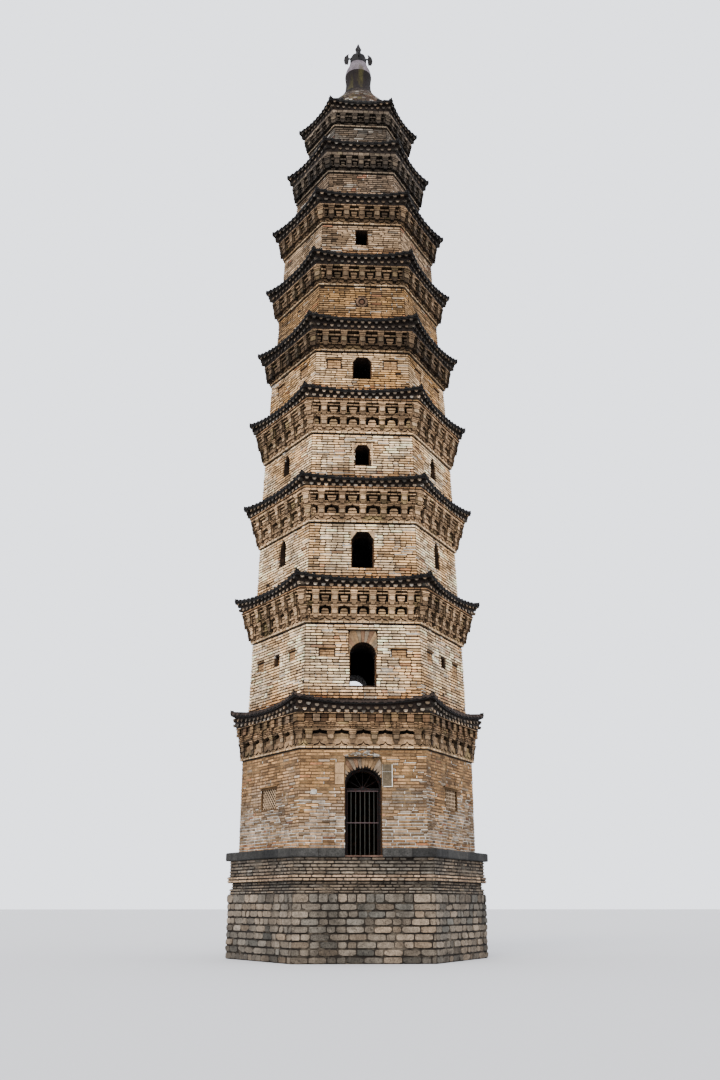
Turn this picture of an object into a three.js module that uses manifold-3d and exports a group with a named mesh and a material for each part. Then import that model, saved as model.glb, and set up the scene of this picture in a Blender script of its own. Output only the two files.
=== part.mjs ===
// A six-sided brick pagoda of nine storeys on a masonry base, with a barred iron gate in its doorway.
// Millimetres, +Z up. The origin is on the ground under the tower's axis, and the doorway faces -Y.
import * as THREE from "three";
import { mergeVertices } from "three/addons/utils/BufferGeometryUtils.js";
import Module from "manifold-3d";

const wasm = await Module();
wasm.setup();

// Driving dimensions

const SIDES = 6;
const APOTHEM = Math.cos(Math.PI / SIDES); // a face's distance from the axis, for a corner radius of 1
const GAP = 0.3; // between pieces that touch on a slanted or round face
const WALL_THICKNESS = 900;
const WALL_BATTER = 50; // how much further out a wall's foot stands than its top, at the corners

const FLOOR_LEVEL = 2170; // of the doorway and the ground chamber
const COPING_TOP = 2360;

// wall: corner radius at the wall's top. ledge: level of the moulding that ends the wall.
// eave: corner radius at the eave's tips. lip: level of the eave's edge at the middle of a side.
// tipRise: how far the corners turn up. tiers: corbelled tiers under the eave, each with a row of
// so many brackets to a side, a pitch apart.
const STOREYS = [
  { wall: 2850, ledge: 4510, eave: 3210, lip: 5540, tipRise: 150, tiers: 2, brackets: 6, pitch: 495 },
  { wall: 2680, ledge: 7460, eave: 3210, lip: 8460, tipRise: 130, tiers: 2, brackets: 6, pitch: 450 },
  { wall: 2570, ledge: 10020, eave: 3070, lip: 11080, tipRise: 75, tiers: 2, brackets: 5, pitch: 510 },
  { wall: 2510, ledge: 12430, eave: 3000, lip: 13500, tipRise: 105, tiers: 2, brackets: 5, pitch: 490 },
  { wall: 2390, ledge: 14820, eave: 2840, lip: 15640, tipRise: 110, tiers: 1, brackets: 5, pitch: 480 },
  { wall: 2240, ledge: 16880, eave: 2670, lip: 17700, tipRise: 105, tiers: 1, brackets: 5, pitch: 440 },
  { wall: 2120, ledge: 18890, eave: 2540, lip: 19720, tipRise: 75, tiers: 1, brackets: 5, pitch: 420 },
  { wall: 1800, ledge: 20815, eave: 2150, lip: 21725, tipRise: 70, tiers: 1, brackets: 5, pitch: 345 },
  { wall: 1470, ledge: 22650, eave: 1820, lip: 23400, tipRise: 50, tiers: 1, brackets: 4, pitch: 350 },
];
const TOP_STOREY = STOREYS.length;
const ROOF_RISE = 120; // from an eave's lip to where its roof meets the wall above
const HIGHEST_ROOF_TOP = 23950;
const HIGHEST_CORE = 700; // the corner radius of the core inside the highest roof
const CORNER_REACH = 100; // how much further out the upturned corners reach than the middle of an eave
const TURN_UP = 2.2; // the power of the curve that an eave takes up and out to its corners

// Front and back windows, from sill to crown. A head is round, flat, or cut: flat with its corners cut off.
const WINDOWS = {
  2: { width: 620, sill: 5990, crown: 7030, head: "round", panelTop: 7310 },
  3: { width: 540, sill: 8880, crown: 9810, head: "cut", cut: [135, 200] },
  4: { width: 380, sill: 11600, crown: 12130, head: "cut", cut: [75, 110] },
  5: { width: 480, sill: 14030, crown: 14670, head: "cut", cut: [100, 130] },
  7: { width: 340, sill: 18240, crown: 18730, head: "flat" },
};
const PANEL_MARGIN = 30; // the sunk panel round a window's head is this much wider, on each side
const PANEL_DEPTH = 40;

// Blind niches in the four slanting sides. At most one to a side of each storey.
const SIDE_NICHES = {
  2: { width: 260, sill: 6640, crown: 6930, head: "flat", depth: 160 },
  3: { width: 300, sill: 9240, crown: 9930, head: "cut", cut: [120, 210], depth: 220 },
  4: { width: 300, sill: 11690, crown: 12280, head: "cut", cut: [120, 210], depth: 220 },
};
// Sunk frames for the carved lattice windows of the ground storey, on every side but the front.
const LATTICE = { width: 740, sill: 3260, crown: 3760, head: "flat", depth: 90 };

const DOOR = { width: 830, crown: 4100, panelTop: 4310 };
const GATE = {
  setBack: 360, // from the wall's face to the gate's middle
  bar: 20,
  frame: 40, // the fixed frame's bars
  clearance: 12, // between the leaf and the frame
  railMiddle: 2925,
  bars: 6,
  rays: 5,
};

// Materials

const material = (color, roughness, metalness = 0) =>
  new THREE.MeshStandardMaterial({ color, roughness, metalness });
const BRICK = material(0xa48a6c, 0.95);
const CORNICE_BRICK = material(0x7d654c, 0.95);
const STONE = material(0x6f6b66, 0.9);
const TILE = material(0x34322f, 0.85);
const RENDER = material(0x8f8b86, 0.9);
const IRON = material(0x2a2624, 0.6, 0.6);

const pagoda = new THREE.Group();

// Solids

function solidOf(geometry) {
  const bare = geometry.index ? geometry.toNonIndexed() : geometry.clone();
  bare.deleteAttribute("normal");
  bare.deleteAttribute("uv");
  const merged = mergeVertices(bare, 1e-3);
  return new wasm.Manifold(
    new wasm.Mesh({
      numProp: 3,
      vertProperties: merged.attributes.position.array,
      triVerts: new Uint32Array(merged.index.array),
    }),
  );
}

function geometryOf(solid) {
  const { vertProperties, triVerts, numProp, numVert } = solid.getMesh();
  const positions = new Float32Array(numVert * 3);
  for (let i = 0; i < numVert; i++) {
    positions.set(vertProperties.subarray(i * numProp, i * numProp + 3), i * 3);
  }
  const geometry = new THREE.BufferGeometry();
  geometry.setAttribute("position", new THREE.BufferAttribute(positions, 3));
  geometry.setIndex(new THREE.BufferAttribute(triVerts, 1));
  geometry.computeVertexNormals();
  return geometry;
}

function add(name, solid, finish, parent = pagoda) {
  const mesh = new THREE.Mesh(geometryOf(solid), finish);
  mesh.name = name;
  parent.add(mesh);
  return mesh;
}

const cut = (solid, cutters) => cutters.reduce((left, cutter) => left.subtract(cutter), solid);
const join = (solids) => solids.reduce((all, solid) => all.add(solid));

// A solid turned round the axis from [radius, level] points that start and end on the axis, going up.
function turned(profile, segments, start) {
  const points = profile.map(([radius, level]) => new THREE.Vector2(radius, level));
  const geometry = new THREE.LatheGeometry(points, segments, start);
  return solidOf(geometry.rotateX(Math.PI / 2));
}

// Six-sided, with corners on the X axis. The radii are the corners'.
const hexagonal = (profile) => turned(profile, SIDES, Math.PI / 2);
const round = (profile, segments = 24) => turned(profile, segments, 0);
const hexPrism = (radius, bottom, top, topRadius = radius) =>
  hexagonal([
    [0, bottom],
    [radius, bottom],
    [topRadius, top],
    [0, top],
  ]);

function box(x0, x1, y0, y1, z0, z1) {
  const geometry = new THREE.BoxGeometry(x1 - x0, y1 - y0, z1 - z0);
  return solidOf(geometry.translate((x0 + x1) / 2, (y0 + y1) / 2, (z0 + z1) / 2));
}

// A flat outline in X and Z, from y = front to y = back.
function slab(shape, front, back, curveSegments = 10) {
  const geometry = new THREE.ExtrudeGeometry(shape, {
    depth: back - front,
    bevelEnabled: false,
    curveSegments,
  });
  return solidOf(geometry.rotateX(Math.PI / 2).translate(0, back, 0));
}

const outline = (points) => new THREE.Shape(points.map(([x, z]) => new THREE.Vector2(x, z)));

// A solid made on the front side, turned to side number n, counted anticlockwise from the front.
const onSide = (solid, n) => solid.rotate([0, 0, (n * 360) / SIDES]);

// The outline of a door, window or niche.
function openingOutline({ width, sill, crown, head, cut = [0, 0] }) {
  const half = width / 2;
  if (head === "round") {
    const shape = new THREE.Shape();
    const spring = crown - half;
    shape.moveTo(-half, sill).lineTo(half, sill).lineTo(half, spring);
    shape.absarc(0, spring, half, 0, Math.PI, false);
    shape.lineTo(-half, sill);
    return shape;
  }
  const [across, down] = cut;
  const top = across ? [[half, crown - down], [half - across, crown]] : [[half, crown]];
  const right = [[half, sill], ...top];
  const left = right.map(([x, z]) => [-x, z]).reverse();
  return outline([...right, ...left]);
}

// Base: stone plinth, sunk waist, brick upper part and a coping that stops at the doorway

const BASE_RADIUS = 3070;
const PLINTH_TOP = 1420;
const WAIST_TOP = 1670;
const COPING_RADIUS = 3165;

add("base_plinth", hexPrism(BASE_RADIUS, 0, PLINTH_TOP), STONE);

add(
  "base_waist",
  hexagonal([
    [0, PLINTH_TOP],
    [BASE_RADIUS - 40, PLINTH_TOP],
    [BASE_RADIUS - 40, PLINTH_TOP + 120],
    [BASE_RADIUS - 90, PLINTH_TOP + 120],
    [BASE_RADIUS - 90, WAIST_TOP],
    [0, WAIST_TOP],
  ]),
  BRICK,
);

add(
  "base_upper",
  hexagonal([
    [0, WAIST_TOP],
    [BASE_RADIUS + 20, WAIST_TOP],
    [BASE_RADIUS + 20, WAIST_TOP + 140],
    [BASE_RADIUS - 25, WAIST_TOP + 140],
    [BASE_RADIUS - 25, FLOOR_LEVEL],
    [0, FLOOR_LEVEL],
  ]),
  BRICK,
);

const groundWallRadius = STOREYS[0].wall;
const copingInside = hexPrism(groundWallRadius + GAP, FLOOR_LEVEL - 10, COPING_TOP + 10);
const gapHalf = DOOR.width / 2;
const copingGap = box(-gapHalf, gapHalf, -BASE_RADIUS * 1.1, 0, FLOOR_LEVEL - 10, COPING_TOP + 10);
const coping = hexPrism(COPING_RADIUS, FLOOR_LEVEL, COPING_TOP);
add("base_coping", cut(coping, [copingInside, copingGap]), STONE);

const thresholdHalf = DOOR.width / 2 - GAP;
const thresholdFront = -COPING_RADIUS * APOTHEM + 25;
const thresholdBack = -groundWallRadius * APOTHEM + GATE.setBack - 60;
const THRESHOLD_HEIGHT = 35;
const threshold = box(
  -thresholdHalf,
  thresholdHalf,
  thresholdFront,
  thresholdBack,
  FLOOR_LEVEL,
  FLOOR_LEVEL + THRESHOLD_HEIGHT,
);
add("door_threshold", threshold, STONE);

// Ground storey: the front is in three pieces round the doorway, and the other five sides are one ring

const doorSpring = DOOR.crown - DOOR.width / 2;
const groundTop = STOREYS[0].ledge;
const groundChamber = groundWallRadius - WALL_THICKNESS / APOTHEM;
const groundWall = cut(hexPrism(groundWallRadius, FLOOR_LEVEL, groundTop), [
  hexPrism(groundChamber, FLOOR_LEVEL - 10, groundTop + 10),
]);

// The wedge of plan that the front side takes, a little narrower by inset.
function frontWedge(inset) {
  const reach = groundWallRadius * 1.2;
  const shape = new THREE.Shape([
    new THREE.Vector2(0, -inset),
    new THREE.Vector2(-reach / 2, -reach * APOTHEM - inset),
    new THREE.Vector2(reach / 2, -reach * APOTHEM - inset),
  ]);
  const geometry = new THREE.ExtrudeGeometry(shape, {
    depth: groundTop - FLOOR_LEVEL + 20,
    bevelEnabled: false,
  });
  return solidOf(geometry.translate(0, 0, FLOOR_LEVEL - 10));
}

const wallFace = -groundWallRadius * APOTHEM;
const jamb = DOOR.width / 2;
const frontWall = groundWall.intersect(frontWedge(GAP));
const farSide = groundWallRadius * 1.2;
const besideDoor = (x0, x1) => box(x0, x1, -farSide, 0, FLOOR_LEVEL - 10, groundTop + 10);
add("wall_1_front_left", frontWall.intersect(besideDoor(-farSide, -jamb)), BRICK);
add("wall_1_front_right", frontWall.intersect(besideDoor(jamb, farSide)), BRICK);

const doorway = slab(
  openingOutline({ width: DOOR.width, sill: FLOOR_LEVEL - 20, crown: DOOR.crown, head: "round" }),
  -farSide,
  0,
  12,
);
const doorPanel = box(-jamb, jamb, -farSide, wallFace + PANEL_DEPTH, doorSpring - 10, DOOR.panelTop);
const overDoor = frontWall.intersect(
  box(-jamb + GAP, jamb - GAP, -farSide, 0, doorSpring, groundTop + 10),
);
add("wall_1_front_arch", cut(overDoor, [doorway, doorPanel]), BRICK);

const latticeFrames = [1, 2, 3, 4, 5].map((n) =>
  onSide(slab(openingOutline(LATTICE), -farSide, wallFace + LATTICE.depth), n),
);
add("wall_1_rear", cut(groundWall.subtract(frontWedge(-GAP)), latticeFrames), BRICK);

// Upper storeys. A wall with an arched or cut window head is in four pieces round its two windows: a foot
// below the sills, a left and a right half beside the openings, and a head above.

const HOLLOW = new Set(Object.keys(WINDOWS).map(Number));

function wallOf(number) {
  const { wall, ledge } = STOREYS[number - 1];
  const foot = STOREYS[number - 2].lip + ROOF_RISE;
  const body = hexPrism(wall + WALL_BATTER, foot, ledge, wall);
  if (!HOLLOW.has(number)) return body;

  const chamber = hexPrism(wall - WALL_THICKNESS / APOTHEM, foot - 10, ledge + 10);
  const window = WINDOWS[number];
  const face = -wall * APOTHEM;
  const through = slab(openingOutline(window), -wall * 1.1, wall * 1.1);
  const cutters = [chamber, through];
  if (window.panelTop) {
    const half = window.width / 2 + PANEL_MARGIN;
    const bottom = window.head === "round" ? window.crown - window.width / 2 : window.sill;
    const panel = box(-half, half, -wall * 1.1, face + PANEL_DEPTH, bottom, window.panelTop);
    cutters.push(panel, onSide(panel, 3));
  }
  const niche = SIDE_NICHES[number];
  if (niche) {
    const hollow = slab(openingOutline(niche), -wall * 1.1, face + niche.depth);
    cutters.push(...[1, 2, 4, 5].map((n) => onSide(hollow, n)));
  }
  return cut(body, cutters);
}

// The level where a window's head starts to close in.
function springOf({ width, crown, head, cut }) {
  return head === "round" ? crown - width / 2 : crown - cut[1];
}

function wallPieces(number) {
  const whole = wallOf(number);
  const window = WINDOWS[number];
  if (!window || window.head === "flat") return { [`wall_${number}`]: whole };

  const reach = STOREYS[0].wall * 1.2;
  const half = window.width / 2;
  const foot = STOREYS[number - 2].lip;
  const top = STOREYS[number - 1].lip;
  const spring = springOf(window);
  const within = (x0, x1, z0, z1) => whole.intersect(box(x0, x1, -reach, reach, z0, z1));
  return {
    [`wall_${number}_foot`]: within(-reach, reach, foot, window.sill),
    [`wall_${number}_left`]: within(-reach, -half, window.sill, spring),
    [`wall_${number}_right`]: within(half, reach, window.sill, spring),
    [`wall_${number}_head`]: within(-reach, reach, spring, top),
  };
}

for (let number = 2; number <= TOP_STOREY; number++) {
  for (const [name, piece] of Object.entries(wallPieces(number))) add(name, piece, BRICK);
}

// Cornices: a moulding, a plain band, one or two corbelled tiers, and the core that the roof lies round

const MOULDING = 70;
const COURSE = 60; // the brick course that lies on each tier
const TIER_RECESS = 90; // of a tier's face behind the course on it
const BRACKET_WIDTH = 150;
const BRACKET_SHY = 20; // how far a bracket's face stays behind the course on it

// Levels and reaches of a storey's cornice, shared by the cornice and the roof on it.
function corniceOf(number) {
  const storey = STOREYS[number - 1];
  const { wall, ledge, eave, lip, tiers } = storey;
  const height = lip - ledge;
  const rafters = lip - height * (tiers === 2 ? 0.21 : 0.3);
  const band = ledge + MOULDING + height * (tiers === 2 ? 0.1 : 0.13);
  const tierHeight = (rafters - band) / tiers;
  const reach = eave - CORNER_REACH - wall;
  const courses = (tiers === 2 ? [0.44, 0.7] : [0.64]).map((share) => wall + share * reach);
  const above = STOREYS[number];
  const core = above ? above.wall + WALL_BATTER : HIGHEST_CORE;
  return { ...storey, rafters, band, tierHeight, reach, courses, above, core };
}

// The blocks of one tier: a row on each side and one on each corner.
function bracketsOf(number, course, bottom, top) {
  const { brackets, pitch } = STOREYS[number - 1];
  const half = BRACKET_WIDTH / 2;
  const front = -course * APOTHEM + BRACKET_SHY;
  const back = -(course - TIER_RECESS) * APOTHEM + GAP;
  const row = Array.from({ length: brackets }, (_, i) => {
    const x = (i - (brackets - 1) / 2) * pitch;
    return box(x - half, x + half, front, back, bottom, top);
  });
  const corner = box(-half, half, BRACKET_SHY - course, TIER_RECESS + 80 - course, bottom, top);
  const turns = Array.from({ length: SIDES }, (_, n) => n);
  return turns.flatMap((n) => [...row.map((solid) => onSide(solid, n)), onSide(corner, n + 0.5)]);
}

function cornice(number) {
  const { wall, ledge, band, rafters, tierHeight, courses, above, core, lip } = corniceOf(number);
  const brackets = [];
  const profile = [
    [0, ledge],
    [wall + 40, ledge],
    [wall + 40, ledge + MOULDING],
    [wall + 20, ledge + MOULDING],
    [wall + 20, band],
  ];
  courses.forEach((course, tier) => {
    const top = band + (tier + 1) * tierHeight;
    const face = course - TIER_RECESS;
    profile.push([face, top - tierHeight], [face, top - COURSE], [course, top - COURSE], [course, top]);
    brackets.push(...bracketsOf(number, course, top - tierHeight, top - COURSE));
  });
  const coreTop = above ? lip + ROOF_RISE : HIGHEST_ROOF_TOP;
  profile.push([core, rafters], [core, coreTop], [0, coreTop]);
  return join([hexagonal(profile), ...brackets]);
}

for (let number = 1; number <= TOP_STOREY; number++) {
  add("cornice_" + number, cornice(number), CORNICE_BRICK);
}

// Roofs: a ring of rafters and tiles round each core, whose edges dip between upturned corners

const LIP_THICKNESS = 80;
const UNDERSIDE_REACH = 0.93; // the share of a cornice's reach at which the underside meets the lip
const ALONG_SIDE = [-1, -0.8, -0.45, 0.45, 0.8]; // where a side's sections are, from corner to corner

// A closed ring through sections, each a loop of as many points.
function ring(sections) {
  const positions = [];
  sections.forEach((section, i) => {
    const next = sections[(i + 1) % sections.length];
    section.forEach((point, j) => {
      const k = (j + 1) % section.length;
      const quad = [point, next[j], next[k], point, next[k], section[k]];
      quad.forEach((corner) => positions.push(corner.x, corner.y, corner.z));
    });
  });
  const geometry = new THREE.BufferGeometry();
  geometry.setAttribute("position", new THREE.Float32BufferAttribute(positions, 3));
  return solidOf(geometry);
}

function roof(number) {
  const { wall, eave, lip, rafters, reach, courses, tipRise, above, core } = corniceOf(number);
  const inside = core + GAP;
  const under = courses[courses.length - 1] + 20;
  const slope = above
    ? [[inside, lip + ROOF_RISE, 0]]
    : [
        [1450, 23600, 0.3],
        [1100, HIGHEST_ROOF_TOP, 0],
        [inside, HIGHEST_ROOF_TOP, 0],
      ];
  // Each point is a corner radius, a level, and the share of the corners' rise that it takes.
  const profile = (edge) => [
    [inside, rafters, 0],
    [under, rafters, 0],
    [wall + UNDERSIDE_REACH * reach, lip - LIP_THICKNESS / 2, 1],
    [edge, lip - LIP_THICKNESS / 2, 1],
    [edge, lip + LIP_THICKNESS / 2, 1],
    ...slope,
  ];
  const sections = [];
  for (let n = 0; n < SIDES; n++) {
    const middle = ((n - 1.5) * 2 * Math.PI) / SIDES;
    for (const along of ALONG_SIDE) {
      const turnUp = Math.abs(along) ** TURN_UP;
      const edge = eave - CORNER_REACH * (1 - turnUp);
      const section = profile(edge).map(([radius, level, share]) => {
        const across = (radius * along) / 2;
        const out = radius * APOTHEM;
        return new THREE.Vector3(
          out * Math.cos(middle) - across * Math.sin(middle),
          out * Math.sin(middle) + across * Math.cos(middle),
          level + share * tipRise * turnUp,
        );
      });
      sections.push(section);
    }
  }
  return ring(sections);
}

for (let number = 1; number <= TOP_STOREY; number++) {
  add("roof_" + number, roof(number), TILE);
}

// Gate: a fixed frame with a fanlight, and a leaf that swings inwards on its left-hand side

const gateY = wallFace + GATE.setBack;
const passageHalf = jamb - GAP;
const frameInside = passageHalf - GATE.frame;

function bars(spans, thickness) {
  const half = thickness / 2;
  return spans.map(([x0, x1, z0, z1]) => box(x0, x1, gateY - half, gateY + half, z0, z1));
}

function arch(outer, inner) {
  const foot = doorSpring - GATE.frame / 2;
  const shape = new THREE.Shape();
  shape.moveTo(outer, foot);
  shape.absarc(0, doorSpring, outer, 0, Math.PI, false);
  shape.lineTo(-outer, foot).lineTo(-inner, foot);
  shape.absarc(0, doorSpring, inner, Math.PI, 0, true);
  shape.lineTo(inner, foot);
  return slab(shape, gateY - GATE.frame / 2, gateY + GATE.frame / 2, 12);
}

const rays = Array.from({ length: GATE.rays }, (_, i) => {
  const turn = (i + 1) * (180 / (GATE.rays + 1)) - 90;
  const length = passageHalf - GATE.frame / 2;
  return bars([[-GATE.bar / 2, GATE.bar / 2, 0, length]], GATE.bar)[0]
    .rotate([0, turn, 0])
    .translate([0, 0, doorSpring - GATE.frame / 2]);
});
const transomFoot = doorSpring - GATE.frame;
const [transom, postLeft, postRight] = bars(
  [
    [-passageHalf, passageHalf, transomFoot, doorSpring],
    [-passageHalf, -frameInside, FLOOR_LEVEL, transomFoot],
    [frameInside, passageHalf, FLOOR_LEVEL, transomFoot],
  ],
  GATE.frame,
);
add("gate_post_left", postLeft, IRON);
add("gate_post_right", postRight, IRON);
add("gate_fanlight", join([transom, arch(passageHalf, frameInside), ...rays]), IRON);

const leafHalf = frameInside - GATE.clearance;
const leafTop = doorSpring - GATE.frame - GATE.clearance;
const leafBottom = FLOOR_LEVEL + 20;
const stile = 30;
const leafSpans = [
  [-leafHalf, -leafHalf + stile, leafBottom, leafTop],
  [leafHalf - stile, leafHalf, leafBottom, leafTop],
  [-leafHalf, leafHalf, leafTop - stile, leafTop],
  [-leafHalf, leafHalf, leafBottom, leafBottom + stile],
  [-leafHalf, leafHalf, GATE.railMiddle - stile / 2, GATE.railMiddle + stile / 2],
];
for (let i = 1; i <= GATE.bars; i++) {
  const x = -leafHalf + (i * 2 * leafHalf) / (GATE.bars + 1);
  leafSpans.push([x - GATE.bar / 2, x + GATE.bar / 2, leafBottom, leafTop]);
}
// The leaf turns on a pin that runs through its left-hand stile, from the floor up to the transom.
const PIN_RADIUS = 9;
const PIN_PLAY = 0.5;
const pin = round(
  [
    [0, FLOOR_LEVEL + PIN_PLAY],
    [PIN_RADIUS, FLOOR_LEVEL + PIN_PLAY],
    [PIN_RADIUS, transomFoot - PIN_PLAY],
    [0, transomFoot - PIN_PLAY],
  ],
  12,
).translate([-leafHalf + stile / 2, gateY, 0]);
add("gate_leaf", join([...bars(leafSpans, stile), pin]), IRON);

// Finial: a flared brick foot, a bell, a pale collar, and an iron crown with four blades under a flame

const BELL_FOOT = 24890; // the levels where the finial's pieces meet
const COLLAR_FOOT = 25640;
const CAP_FOOT = 26120;
const FLAME_FOOT = 26610;

add(
  "finial_foot",
  round([
    [0, HIGHEST_ROOF_TOP],
    [950, HIGHEST_ROOF_TOP],
    [930, 24250],
    [805, 24400],
    [640, 24600],
    [515, 24790],
    [463, BELL_FOOT],
    [0, BELL_FOOT],
  ]),
  BRICK,
);
add(
  "finial_bell",
  round([
    [0, BELL_FOOT],
    [463, BELL_FOOT],
    [428, 25000],
    [400, 25130],
    [386, 25260],
    [387, 25380],
    [400, 25530],
    [410, 25610],
    [410, COLLAR_FOOT],
    [0, COLLAR_FOOT],
  ]),
  RENDER,
);
add(
  "finial_collar",
  round([
    [0, COLLAR_FOOT],
    [410, COLLAR_FOOT],
    [394, 25750],
    [370, 25850],
    [325, 25950],
    [287, 26050],
    [266, CAP_FOOT],
    [0, CAP_FOOT],
  ]),
  RENDER,
);

const BLADE_THICKNESS = 40;
const bladeOutline = new THREE.Shape();
bladeOutline.moveTo(200, 26365).lineTo(300, 26365);
bladeOutline.quadraticCurveTo(335, 26290, 310, 26170);
bladeOutline.lineTo(415, 26170);
bladeOutline.quadraticCurveTo(495, 26390, 295, 26565);
bladeOutline.quadraticCurveTo(345, 26480, 310, 26415);
bladeOutline.lineTo(200, 26415);
const blade = slab(bladeOutline, -BLADE_THICKNESS / 2, BLADE_THICKNESS / 2, 6);
const cap = round([
  [0, CAP_FOOT],
  [270, CAP_FOOT],
  [256, 26210],
  [257, 26360],
  [240, 26420],
  [172, 26500],
  [105, 26580],
  [80, FLAME_FOOT],
  [0, FLAME_FOOT],
]);
const blades = [0, 90, 180, 270].map((turn) => blade.rotate([0, 0, turn]));
add("finial_crown", join([cap, ...blades]), IRON);

add(
  "finial_flame",
  round(
    [
      [0, FLAME_FOOT],
      [80, FLAME_FOOT],
      [78, 26650],
      [102, 26760],
      [64, 26860],
      [33, 26935],
      [0, 27000],
    ],
    12,
  ),
  IRON,
);

export default pagoda;
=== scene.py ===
"""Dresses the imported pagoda: bricks, cornices with brackets, tiled eaves, doorway, gate and finial.

Metres, in the part's own frame: +Z up, the doorway faces -Y and the origin is under the tower's axis.
"""

import math
import random
from collections import namedtuple

import bpy
from mathutils import Euler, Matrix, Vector, noise


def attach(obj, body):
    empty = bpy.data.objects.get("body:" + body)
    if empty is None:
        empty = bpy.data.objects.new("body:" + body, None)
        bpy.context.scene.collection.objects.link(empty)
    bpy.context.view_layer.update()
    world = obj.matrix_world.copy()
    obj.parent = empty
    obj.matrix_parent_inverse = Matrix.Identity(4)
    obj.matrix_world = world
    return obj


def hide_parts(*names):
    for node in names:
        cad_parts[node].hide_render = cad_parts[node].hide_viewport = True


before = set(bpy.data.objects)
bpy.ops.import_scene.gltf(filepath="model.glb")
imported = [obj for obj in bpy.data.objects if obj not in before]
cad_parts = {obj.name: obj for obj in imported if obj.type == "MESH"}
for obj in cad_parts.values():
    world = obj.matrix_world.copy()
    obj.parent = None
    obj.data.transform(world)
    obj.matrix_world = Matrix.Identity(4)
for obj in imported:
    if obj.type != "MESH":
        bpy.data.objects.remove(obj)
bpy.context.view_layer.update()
random.seed(7)

SIDES = 6
APOTHEM = math.cos(math.pi / SIDES)  # a face's distance from the axis, for a corner radius of 1
HALF = math.tan(math.pi / SIDES)  # half a side, for an apothem of 1

# The driving dimensions, as in the part's source.
FLOOR, PLINTH_TOP, WAIST_TOP, COPING_TOP = 2.17, 1.42, 1.67, 2.36
BASE_RADIUS, COPING_RADIUS = 3.07, 3.165
WALL_BATTER, ROOF_RISE, CORNER_REACH, TURN_UP = 0.05, 0.12, 0.1, 2.2
HIGHEST_CORE, HIGHEST_ROOF_TOP = 0.7, 23.95
MOULDING, COURSE, LIP_THICKNESS, PANEL_DEPTH = 0.07, 0.06, 0.08, 0.04
DOOR_WIDTH, DOOR_CROWN, DOOR_PANEL_TOP, THRESHOLD = 0.83, 4.10, 4.31, 0.035
GATE_SET_BACK, GATE_FRAME, GATE_CLEARANCE, GATE_RAIL = 0.36, 0.04, 0.012, 2.925
GATE_BARS, GATE_RAYS = 6, 5


def clamp(value):
    return max(0.0, min(1.0, value))


def parts(low, high, count):
    """The ends of each of a stretch's equal parts."""
    cuts = [low + (high - low) * k / count for k in range(count + 1)]
    return list(zip(cuts, cuts[1:]))


class Storey:
    """One storey's wall, cornice and eave. Radii are the corners'."""

    def __init__(self, number, wall, ledge, eave, lip, tip_rise, brackets, pitch, rafter_pitch, rafter_rise):
        self.number, self.wall, self.ledge, self.eave, self.lip = number, wall, ledge, eave, lip
        self.tip_rise, self.brackets, self.pitch = tip_rise, brackets, pitch
        self.rafter_pitch, self.rafter_rise = rafter_pitch, rafter_rise
        self.tiers = 2 if number < 5 else 1
        rafters, band, self.bay_depth, courses = (
            (0.21, 0.1, 0.18, (0.44, 0.7)) if self.tiers == 2 else (0.3, 0.13, 0.15, (0.64,)))
        self.rafters = lip - (lip - ledge) * rafters
        self.band = ledge + MOULDING + (lip - ledge) * band
        self.tier_height = (self.rafters - self.band) / self.tiers
        self.courses = [wall + share * (eave - CORNER_REACH - wall) for share in courses]
        self.face, self.soffit = wall * APOTHEM, self.courses[-1] * APOTHEM
        self.under, self.edge = lip - LIP_THICKNESS / 2, lip + LIP_THICKNESS / 2

    def lift(self, along):
        """How much the eave's edge rises at a share of the way from the middle of a side to its corner."""
        return self.tip_rise * abs(along) ** TURN_UP

    def out(self, along):
        """The eave's edge's distance from the axis, square to its side."""
        return (self.eave - CORNER_REACH * (1 - abs(along) ** TURN_UP)) * APOTHEM

    def core(self):
        """The corner radius and the level at which the part above stands."""
        if self.number == len(STOREYS):
            return HIGHEST_CORE, HIGHEST_ROOF_TOP
        return storey(self.number + 1).wall + WALL_BATTER, self.lip + ROOF_RISE


STOREYS = [
    Storey(1, 2.850, 4.510, 3.210, 5.540, 0.150, 6, 0.495, 0.194, (0.1, 0.5)),
    Storey(2, 2.680, 7.460, 3.210, 8.460, 0.130, 6, 0.450, 0.190, (0.4, 0.9)),
    Storey(3, 2.570, 10.020, 3.070, 11.080, 0.075, 5, 0.510, 0.186, (0.35, 0.8)),
    Storey(4, 2.510, 12.430, 3.000, 13.500, 0.105, 5, 0.490, 0.180, (0.4, 0.85)),
    Storey(5, 2.390, 14.820, 2.840, 15.640, 0.110, 5, 0.480, 0.176, (0.36, 0.86)),
    Storey(6, 2.240, 16.880, 2.670, 17.700, 0.105, 5, 0.440, 0.180, (0.36, 0.86)),
    Storey(7, 2.120, 18.890, 2.540, 19.720, 0.075, 5, 0.420, 0.205, (0.36, 0.86)),
    Storey(8, 1.800, 20.815, 2.150, 21.725, 0.070, 5, 0.345, 0.200, (0.4, 0.88)),
    Storey(9, 1.470, 22.650, 1.820, 23.400, 0.050, 4, 0.350, 0.170, (0.4, 0.88)),
]


def storey(number):
    return STOREYS[number - 1]


def wall_foot(number):
    return FLOOR if number == 1 else storey(number - 1).lip + ROOF_RISE


def wall_out(number, level):
    """The distance of a wall's face from the axis at a level."""
    s = storey(number)
    if number == 1:
        return s.face
    return (s.wall + WALL_BATTER * clamp((s.ledge - level) / (s.ledge - wall_foot(number)))) * APOTHEM


# Colours


def rgb(hexa):
    """A linear colour from its sRGB hex digits."""
    values = [int(hexa[i : i + 2], 16) / 255 for i in (0, 2, 4)]
    return tuple(v / 12.92 if v <= 0.04045 else ((v + 0.055) / 1.055) ** 2.4 for v in values)


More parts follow.
